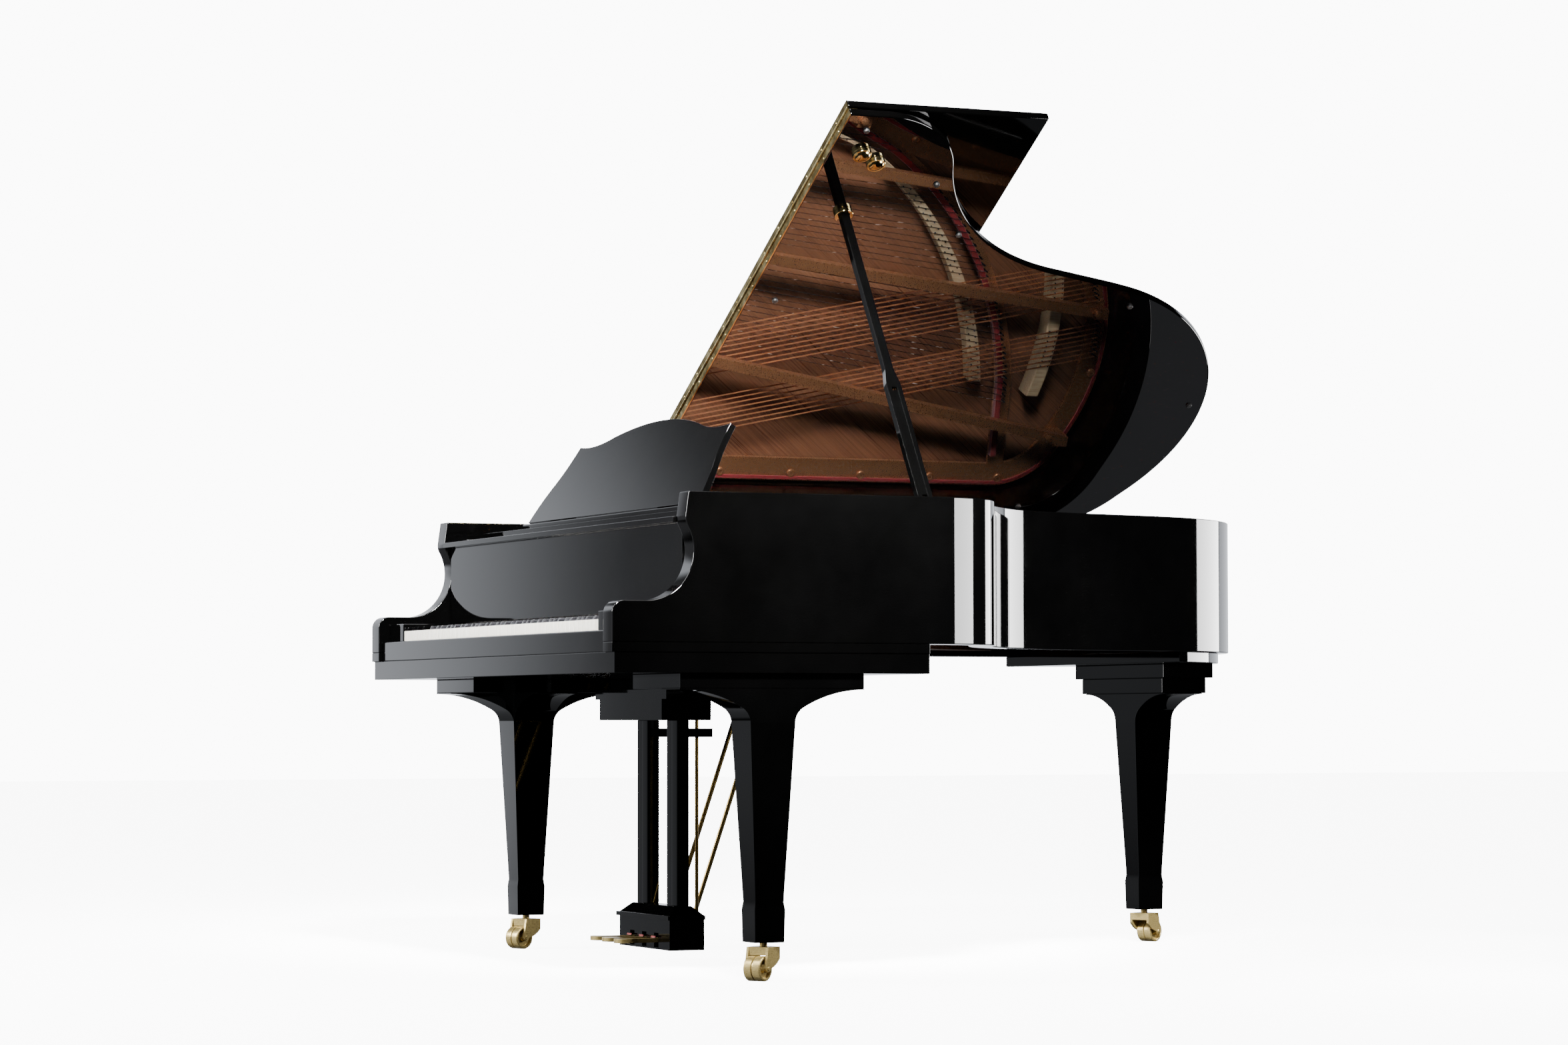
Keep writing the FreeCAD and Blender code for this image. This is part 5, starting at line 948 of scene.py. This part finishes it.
    def pins(self) -> None:
        """Make the tuning pins with their coils, the agraffes, the hitch pins and the bridge pins."""
        tuning, brass, small = bmesh.new(), bmesh.new(), bmesh.new()
        for low, high in self.shop.islands("tuning_pins"):
            top = (high.z - low.z) / MM
            profile = [*self.pin_foot, *self.pin_coil, *((r, top + up) for r, up in self.pin_head)]
            foot = Vector(((low.x + high.x) / 2, (low.y + high.y) / 2, low.z))
            add_lathe(tuning, profile, foot, UP, segments=10)
        plain, wound = self.runs("plain_strings"), self.runs("wound_strings")
        for start, end in plain + wound:
            along = (end - start).normalized()
            stop = start + along * ((FRONT + self.agraffe_back * MM - start.y) / along.y)
            self.post(brass, self.agraffe_foot, self.agraffe, stop, stop.z, segments=10)
            hitch = end - along * self.hitch_inset * MM
            self.post(small, self.hitch_foot, self.hitch, hitch, end.z, segments=8)
        self.set_bridge_pins(small, plain, self.curve(self.long_bridge), self.long_bridge_top)
        self.set_bridge_pins(small, wound, self.curve(self.bass_bridge), self.bass_bridge_top)
        self.shop.piece("tuning_pins_piece", tuning, Finishes.BLUED, "case", ("tuning_pins",))
        self.shop.piece("agraffes", brass, Finishes.POLISHED_BRASS, "case")
        self.shop.piece("hitch_and_bridge_pins", small, Finishes.BLUED, "case")

    def post(self, bm: Mesh, foot: float, head: Profile, place: Vector, top: float,
             segments: int) -> None:
        """Stand a turned post on the plate under a string.

        Args:
            bm: The mesh.
            foot: Radius of its foot.
            head: Radius and height of its head, measured from the string.
            place: Where it stands in plan.
            top: The string's height in metres.
            segments: Sides of the post.
        """
        rise = top / MM - self.plate_top
        profile = [(foot, 0), *((radius, rise + up) for radius, up in head)]
        add_lathe(bm, profile, Vector((place.x, place.y, self.plate_top * MM)), UP, segments)

    def set_bridge_pins(self, bm: Mesh, runs: Sequence[Span], line: Sequence[Plan],
                        top: float) -> None:
        """Set two pins on a bridge beside every string that crosses it.

        Args:
            bm: The mesh.
            runs: The strings' ends.
            line: The bridge's front edge in millimetres.
            top: The bridge's top.
        """
        edge = [at(side, back, top) for side, back in line]
        for start, end in runs:
            slope = (end.x - start.x) / (end.y - start.y)
            for a, b in zip(edge, edge[1:]):
                side_a = a.x - (start.x + (a.y - start.y) * slope)
                side_b = b.x - (start.x + (b.y - start.y) * slope)
                if side_a * side_b > 0 or side_a == side_b:
                    continue
                hit = a + (b - a) * (side_a / (side_a - side_b))
                for back, beside in self.bridge_pins:
                    foot = hit + Vector((beside + back * slope, back, 0)) * MM
                    add_lathe(bm, self.bridge_pin, foot, UP, segments=8)
                break

    def felts(self) -> None:
        """Make the red felts on the plate: round the rim and under the string ends."""
        bm = bmesh.new()
        for line, (width, rise) in ((self.outline.line(*self.rim_felt_line), self.rim_felt),
                                    (self.curve(self.rail_felt_line), self.rail_felt),
                                    (self.front_felt_line, self.front_felt)):
            add_band(bm, line, width, self.plate_top, self.plate_top + rise)
        ease_edges(bm, self.felt_ease, 2)
        self.shop.piece("plate_felts", bm, Finishes.RED_FELT, "case")

    def dampers(self) -> None:
        """Make each damper: a black block on a wedge of felt."""
        wood, felt = [], []
        inset = RIGHT * self.damper_felt_inset * MM
        for low, high in self.shop.islands("dampers"):
            middle = low.z + (high.z - low.z) * self.damper_felt_share
            wood.append((Vector((low.x, low.y, middle)), high))
            felt.append((low + inset, Vector((high.x, high.y, middle)) - inset))
        self.shop.blocks("damper_heads", wood, Finishes.POLISHED, (1.2, 2), "dampers", ("dampers",))
        self.shop.blocks("damper_felts", felt, Finishes.WHITE_FELT, (0.8, 1), "dampers")

    def action(self) -> None:
        """Make the action's rail and stands, and a hammer for every key."""
        wood, felt = [], bmesh.new()
        rail_low, rail_top, depth = (size * MM for size in self.action_rail)
        width = self.stand_width * MM
        thin, shank_up = (size * MM for size in self.shank)
        head_front, head_back, head_drop = (size * MM for size in self.head)
        for low, high in self.shop.islands("action_rack"):
            if high.x - low.x > self.rail_least * MM:
                back = low.y + depth
                wood.append((Vector((low.x, low.y, rail_low)), Vector((high.x, back, rail_top))))
                for i in range(self.stands):
                    left = low.x + (high.x - low.x - width) * i / (self.stands - 1)
                    wood.append((Vector((left, low.y, low.z)), Vector((left + width, back, rail_low))))
                continue
            left, right = ((low.x + high.x) / 2 + side for side in (-thin, thin))
            end = high.y - head_back
            start = high.y - head_front
            wood.append((Vector((left, low.y, low.z)), Vector((right, end, low.z + shank_up))))
            wood.append((Vector((left, start, low.z)), Vector((right, end, high.z - head_drop))))
            loop = [Vector((low.x, high.y + y * MM, high.z + z * MM)) for y, z in self.hammer]
            add_prism(felt, loop, RIGHT * (high.x - low.x))
        self.shop.blocks("action_frame", wood, Finishes.PALE_MAPLE, (0.8, 1), "case", ("action_rack",))
        self.shop.piece("hammer_felts", felt, Finishes.WHITE_FELT, "case", smooth=50)


# Keyboard, desk and props


@dataclass(frozen=True)
class Keyboard:
    """The keys, the fallboard and the felt below it, in millimetres."""

    shop: Workshop
    felt: Tuple[Place, Place] = ((-608, 177, 757), (608, 191, 760))

    def build(self) -> None:
        """Make the keyboard's pieces."""
        self.shop.dress(Finishes.IVORY, 0.8, 2, *("white_keys_" + note for note in "abcdefg"))
        self.shop.dress(Finishes.EBONY, 1.6, 3, "black_keys")
        self.shop.dress(Finishes.POLISHED, 3.0, 3, "fallboard")
        span = at(*self.felt[0]), at(*self.felt[1])
        self.shop.blocks("fallboard_felt", [span], Finishes.BLACK_FELT, (0.8, 1), "fallboard")


@dataclass(frozen=True)
class DeskAndProps:
    """The music desk on its tray, and the lid's props, in millimetres."""

    shop: Workshop
    ledge: Tuple[Place, Place] = ((-480, 270, 969.7), (480, 283, 984))

    def build(self) -> None:
        """Make the desk's and the props' pieces."""
        self.shop.dress(Finishes.POLISHED, 1.4, 2, "desk_tray")
        span = at(*self.ledge[0]), at(*self.ledge[1])
        self.shop.blocks("desk_ledge", [span], Finishes.POLISHED, (2.0, 2), "tray")
        self.shop.dress(Finishes.POLISHED, 1.9, 3, "music_desk")
        self.shop.dress(Finishes.SATIN, 1.2, 2, "desk_brace")
        self.shop.dress(Finishes.POLISHED, 2.4, 3, "prop_long")
        self.shop.dress(Finishes.POLISHED, 1.6, 3, "prop_short")
        self.shop.dress(Finishes.POLISHED_BRASS, 1.4, 3, "prop_bracket")


# Legs, casters and lyre


@dataclass(frozen=True)
class Stand:
    """The legs and their casters, with the wheels' sizes in millimetres."""

    shop: Workshop
    radius: float = 26.0
    width: float = 19.0
    gap: float = 0.75
    recess: float = 7.0
    bore: float = 4.05
    hub: float = 8.0

    def build(self) -> None:
        """Make the legs and casters."""
        self.shop.dress(Finishes.POLISHED, 1.8, 3, "front_leg_left", "front_leg_right", "rear_leg")
        for name in ("left", "right", "rear"):
            self.shop.dress(Finishes.BRASS, 1.4, 3, "caster_fork_" + name)
            self.wheels(name)

    def wheels(self, name: str) -> None:
        """Make a caster's twin wheels as turned solids.

        Args:
            name: The caster's name.
        """
        joints = {joint["name"]: joint for joint in frame["record"]["behaviour"]["joints"]}
        joint = joints["caster_%s_roll" % name]
        r, hub, near, far = self.radius, self.hub, self.gap, self.gap + self.width
        floor = far - self.recess
        # the wheel's section, from the bore at the inner side round the tread and the recess to the hub
        profile = [(self.bore, near), (r - 2, near), (r - 0.4, near + 0.7), (r, near + 2), (r, far - 2.4),
                   (r - 0.8, far - 0.7), (r - 2.4, far), (r - 5, far), (r - 6, far - 0.8),
                   (r - 6.6, floor), (hub + 2, floor), (hub + 1, floor + 0.8), (hub + 0.6, far - 0.4),
                   (hub, far), (self.bore, far)]
        bm = bmesh.new()
        for sign in (-1, 1):
            axis = Vector(joint["axis"]) * sign
            add_lathe(bm, profile, Vector(joint["pos_m"]), axis, segments=72, ring=True)
        node = "caster_wheels_" + name
        self.shop.piece(node + "_piece", bm, Finishes.BRASS, BODY_OF[node], (node,))


@dataclass(frozen=True)
class Lyre:
    """The pedal lyre, its pedals, rods, braces and felts, in millimetres and degrees."""

    shop: Workshop
    pedals: Sequence[str] = ("left", "middle", "right")
    brace_lean: float = 19.0
    brace_feet: Sequence[Place] = ((-60, 465.3, 88), (60, 465.3, 88))
    brace: Profile = ((3, 0), (7, 2), (8.2, 6), (7, 10), (4.6, 12), (4.6, 30), (5, 32), (5, 552), (7.5, 554),
                      (7.5, 569), (5, 570))
    felt_half: float = 12.0
    felt_wall: float = 2.0
    felt_heights: Plan = (1.0, 5.0)

    def build(self) -> None:
        """Make the lyre's pieces."""
        for node, ease in (("lyre_head", 1.8), ("lyre_posts", 1.2), ("pedal_box", 1.4)):
            self.shop.dress(Finishes.POLISHED, ease, 2, node)
        for name in self.pedals:
            self.shop.dress(Finishes.BRASS, 3.2, 4, "pedal_" + name)
            self.shop.dress(Finishes.BURNISHED, 0.4, 2, "pedal_rod_" + name)
        self.braces()
        self.felts()

    def braces(self) -> None:
        """Make the two braces with their end balls and collars."""
        bm = bmesh.new()
        lean = math.radians(self.brace_lean)
        axis = Vector((0, math.sin(lean), math.cos(lean)))
        for foot in self.brace_feet:
            add_lathe(bm, self.brace, at(*foot), axis, segments=20)
        self.shop.piece("lyre_braces_piece", bm, Finishes.BURNISHED, "case", ("lyre_braces",))

    def felts(self) -> None:
        """Make the red felts over the pedals, on the front of the pedal box."""
        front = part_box("pedal_box")[0][1]
        spans = []
        for name in self.pedals:
            low, high = map(Vector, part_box("pedal_" + name))
            middle = Vector(((low.x + high.x) / 2, front, high.z))
            spans.append((middle + Vector((-self.felt_half, -self.felt_wall, self.felt_heights[0])) * MM,
                          middle + Vector((self.felt_half, 0, self.felt_heights[1])) * MM))
        self.shop.blocks("pedal_felts", spans, Finishes.RED_FELT, (0.6, 1), "case")


# Studio


@dataclass(frozen=True)
class CameraFit:
    """The photograph's camera, fitted to the case's outline: place in metres, turns in radians."""

    place: Place = (8.6830, FRONT - 3.1418, 0.5262)
    pitch: float = 0.0474
    roll: float = 0.0009
    yaw: float = 1.1528
    focal_px: float = 6362.8
    image_width_px: float = 2352.0
    sensor_width: float = 36.0
    clip: Plan = (0.1, 200.0)


@dataclass(frozen=True)
class Lamp:
    """One soft box: its place, what it faces, its size in metres, its power and its spread in degrees."""

    name: str
    place: Place
    target: Place
    size: Plan
    power: float
    spread: float = 180.0


@dataclass(frozen=True)
class Fade:
    """A soft step: where it starts and ends, and the light before and after it."""

    span: Plan
    light: Plan


class Studio:
    """The floor, lights, surroundings and camera."""

    LAMPS = (
        Lamp("overhead_box", (0.2, -0.4, 4.6), (0.0, 0.1, 0.9), (2.0, 2.0), 130),
        Lamp("interior_box", (2.8, -1.2, 3.0), (0.05, -0.36, 0.85), (0.8, 0.8), 120, 30.0),
        Lamp("bend_box", (1.405, 1.130, 0.88), (0.748, -0.218, 0.86), (0.8, 0.62), 43),
        Lamp("tail_box", (-0.2, 1.97, 0.88), (0.1, 0.75, 0.86), (0.65, 0.62), 23),
        Lamp("high_front_box", (0.3, -4.4, 4.6), (0.0, 0.2, 1.0), (3.0, 2.2), 240),
        Lamp("front_fill", (-2.0, -5.2, 2.2), (0.0, -0.9, 0.75), (1.6, 1.6), 520),
    )
    # the turn about the stage is in radians from the bass side; heights are the sine of the angle up
    BASS_SWEEP = (Fade((-1.134, -1.03), (0.006, 1.0)), Fade((0.312, 0.386), (1.7, 0.2)))
    BASS_HEIGHT = (Fade((0.3, 0.38), (1.0, 0.05)), Fade((-0.12, -0.04), (0.08, 1.0)))
    FRONT_SWEEP = (Fade((0.62, 0.85), (0.0, 0.7)), Fade((1.8, 2.2), (1.0, 0.0)))
    BACKDROP_LIGHT = 11.0
    BACKDROP_COLOUR = (1, 1, 1, 1)
    SWEEP_COLOUR = (0.93, 0.965, 1.03, 1)
    FLOOR_SIZE = 30.0
    FLOOR_CELLS = 8
    FLOOR_COLOUR = "#f2f2f2"
    FLOOR_ROUGHNESS = 0.8
    FLOOR_LIGHT = 9.0

    def build(self) -> None:
        """Make the studio."""
        self.floor()
        self.world()
        for lamp in self.LAMPS:
            self.lamp(lamp)
        self.camera(CameraFit())

    def floor(self) -> None:
        """Lay the plain pale floor."""
        bm = bmesh.new()
        bmesh.ops.create_grid(bm, x_segments=self.FLOOR_CELLS, y_segments=self.FLOOR_CELLS,
                              size=self.FLOOR_SIZE)
        mesh = bpy.data.meshes.new("floor")
        bm.to_mesh(mesh)
        bm.free()
        material = bpy.data.materials.new("pale_floor")
        material.use_nodes = True
        shader = material.node_tree.nodes["Principled BSDF"]
        shader.inputs["Base Color"].default_value = linear(self.FLOOR_COLOUR)
        shader.inputs["Roughness"].default_value = self.FLOOR_ROUGHNESS
        shader.inputs["Emission Color"].default_value = self.BACKDROP_COLOUR
        shader.inputs["Emission Strength"].default_value = self.FLOOR_LIGHT
        mesh.materials.append(material)
        floor = bpy.data.objects.new("floor", mesh)
        bpy.context.scene.collection.objects.link(floor)
        floor.visible_glossy = False
        floor.visible_diffuse = False

    def world(self) -> None:
        """Surround the stage: white sweeps on the bass side and the front, and dark flags elsewhere."""
        world = bpy.data.worlds.new("studio")
        bpy.context.scene.world = world
        world.use_nodes = True
        tree = world.node_tree
        coords = add_node(tree, "ShaderNodeTexCoord")
        parts = add_node(tree, "ShaderNodeSeparateXYZ", {0: coords.outputs["Generated"]})
        ahead = self.combine(tree, "MULTIPLY", parts.outputs["Y"], -1.0)
        aside = self.combine(tree, "MULTIPLY", parts.outputs["X"], -1.0)
        around = self.combine(tree, "ARCTAN2", ahead, aside)
        bass = self.combine(tree, "MULTIPLY", self.fades(tree, around, self.BASS_SWEEP),
                         self.fades(tree, parts.outputs["Z"], self.BASS_HEIGHT))
        light = self.combine(tree, "ADD", bass, self.fades(tree, around, self.FRONT_SWEEP))
        backdrop = add_node(tree, "ShaderNodeLightPath").outputs["Is Camera Ray"]
        seen = add_node(tree, "ShaderNodeMix", {0: backdrop, 2: light, 3: self.BACKDROP_LIGHT},
                        data_type="FLOAT")
        tint = add_node(tree, "ShaderNodeMix", {0: backdrop, 6: self.SWEEP_COLOUR, 7: self.BACKDROP_COLOUR},
                        data_type="RGBA")
        background = tree.nodes["Background"]
        tree.links.new(tint.outputs[2], background.inputs["Color"])
        tree.links.new(seen.outputs[0], background.inputs["Strength"])

    @staticmethod
    def combine(tree: Tree, operation: str, first: Socket, second: Union[Socket, float]) -> Socket:
        """Add a sum on two levels, the second a socket or a number, and return the result."""
        return add_node(tree, "ShaderNodeMath", {0: first, 1: second}, operation=operation).outputs[0]

    def fades(self, tree: Tree, value: Socket,
              pair: Tuple[Fade, Fade]) -> Socket:
        """Add two soft steps that are multiplied.

        Args:
            tree: The node tree.
            value: What the steps depend on.
            pair: The steps.

        Returns:
            The light level.
        """
        first, second = (add_node(tree, "ShaderNodeMapRange", {
            "Value": value, "From Min": fade.span[0], "From Max": fade.span[1], "To Min": fade.light[0],
            "To Max": fade.light[1]}, interpolation_type="SMOOTHSTEP").outputs["Result"] for fade in pair)
        return self.combine(tree, "MULTIPLY", first, second)

    def lamp(self, lamp: Lamp) -> None:
        """Hang a soft box.

        Args:
            lamp: The soft box.
        """
        data = bpy.data.lights.new(lamp.name, "AREA")
        data.shape = "RECTANGLE"
        data.size, data.size_y = lamp.size
        data.energy = lamp.power
        data.spread = math.radians(lamp.spread)
        thing = bpy.data.objects.new(lamp.name, data)
        thing.location = lamp.place
        facing = Vector(lamp.target) - Vector(lamp.place)
        thing.rotation_euler = facing.to_track_quat("-Z", "Y").to_euler()
        thing.visible_camera = False
        bpy.context.scene.collection.objects.link(thing)

    def camera(self, fit: CameraFit) -> None:
        """Set the camera up.

        Args:
            fit: The fitted camera.
        """
        data = bpy.data.cameras.new("camera")
        data.sensor_width = fit.sensor_width
        data.lens = fit.sensor_width * fit.focal_px / fit.image_width_px
        data.clip_start, data.clip_end = fit.clip
        thing = bpy.data.objects.new("camera", data)
        thing.location = fit.place
        thing.rotation_euler = (math.pi / 2 + fit.pitch, fit.roll, fit.yaw)
        bpy.context.scene.collection.objects.link(thing)
        bpy.context.scene.camera = thing


def main() -> None:
    """Dress the piano and set the studio round it."""
    logging.basicConfig(level=logging.INFO)
    shop = Workshop()
    outline = CaseOutline()
    for part in (Case(shop, outline), Lid(shop, outline), Inside(shop, outline), Keyboard(shop),
                 DeskAndProps(shop), Stand(shop), Lyre(shop), Studio()):
        first = len(shop.made)
        part.build()
        for name in shop.made[first:]:
            LOG.info("%s made %s", type(part).__name__, name)


if __name__ == "__main__":
    main()
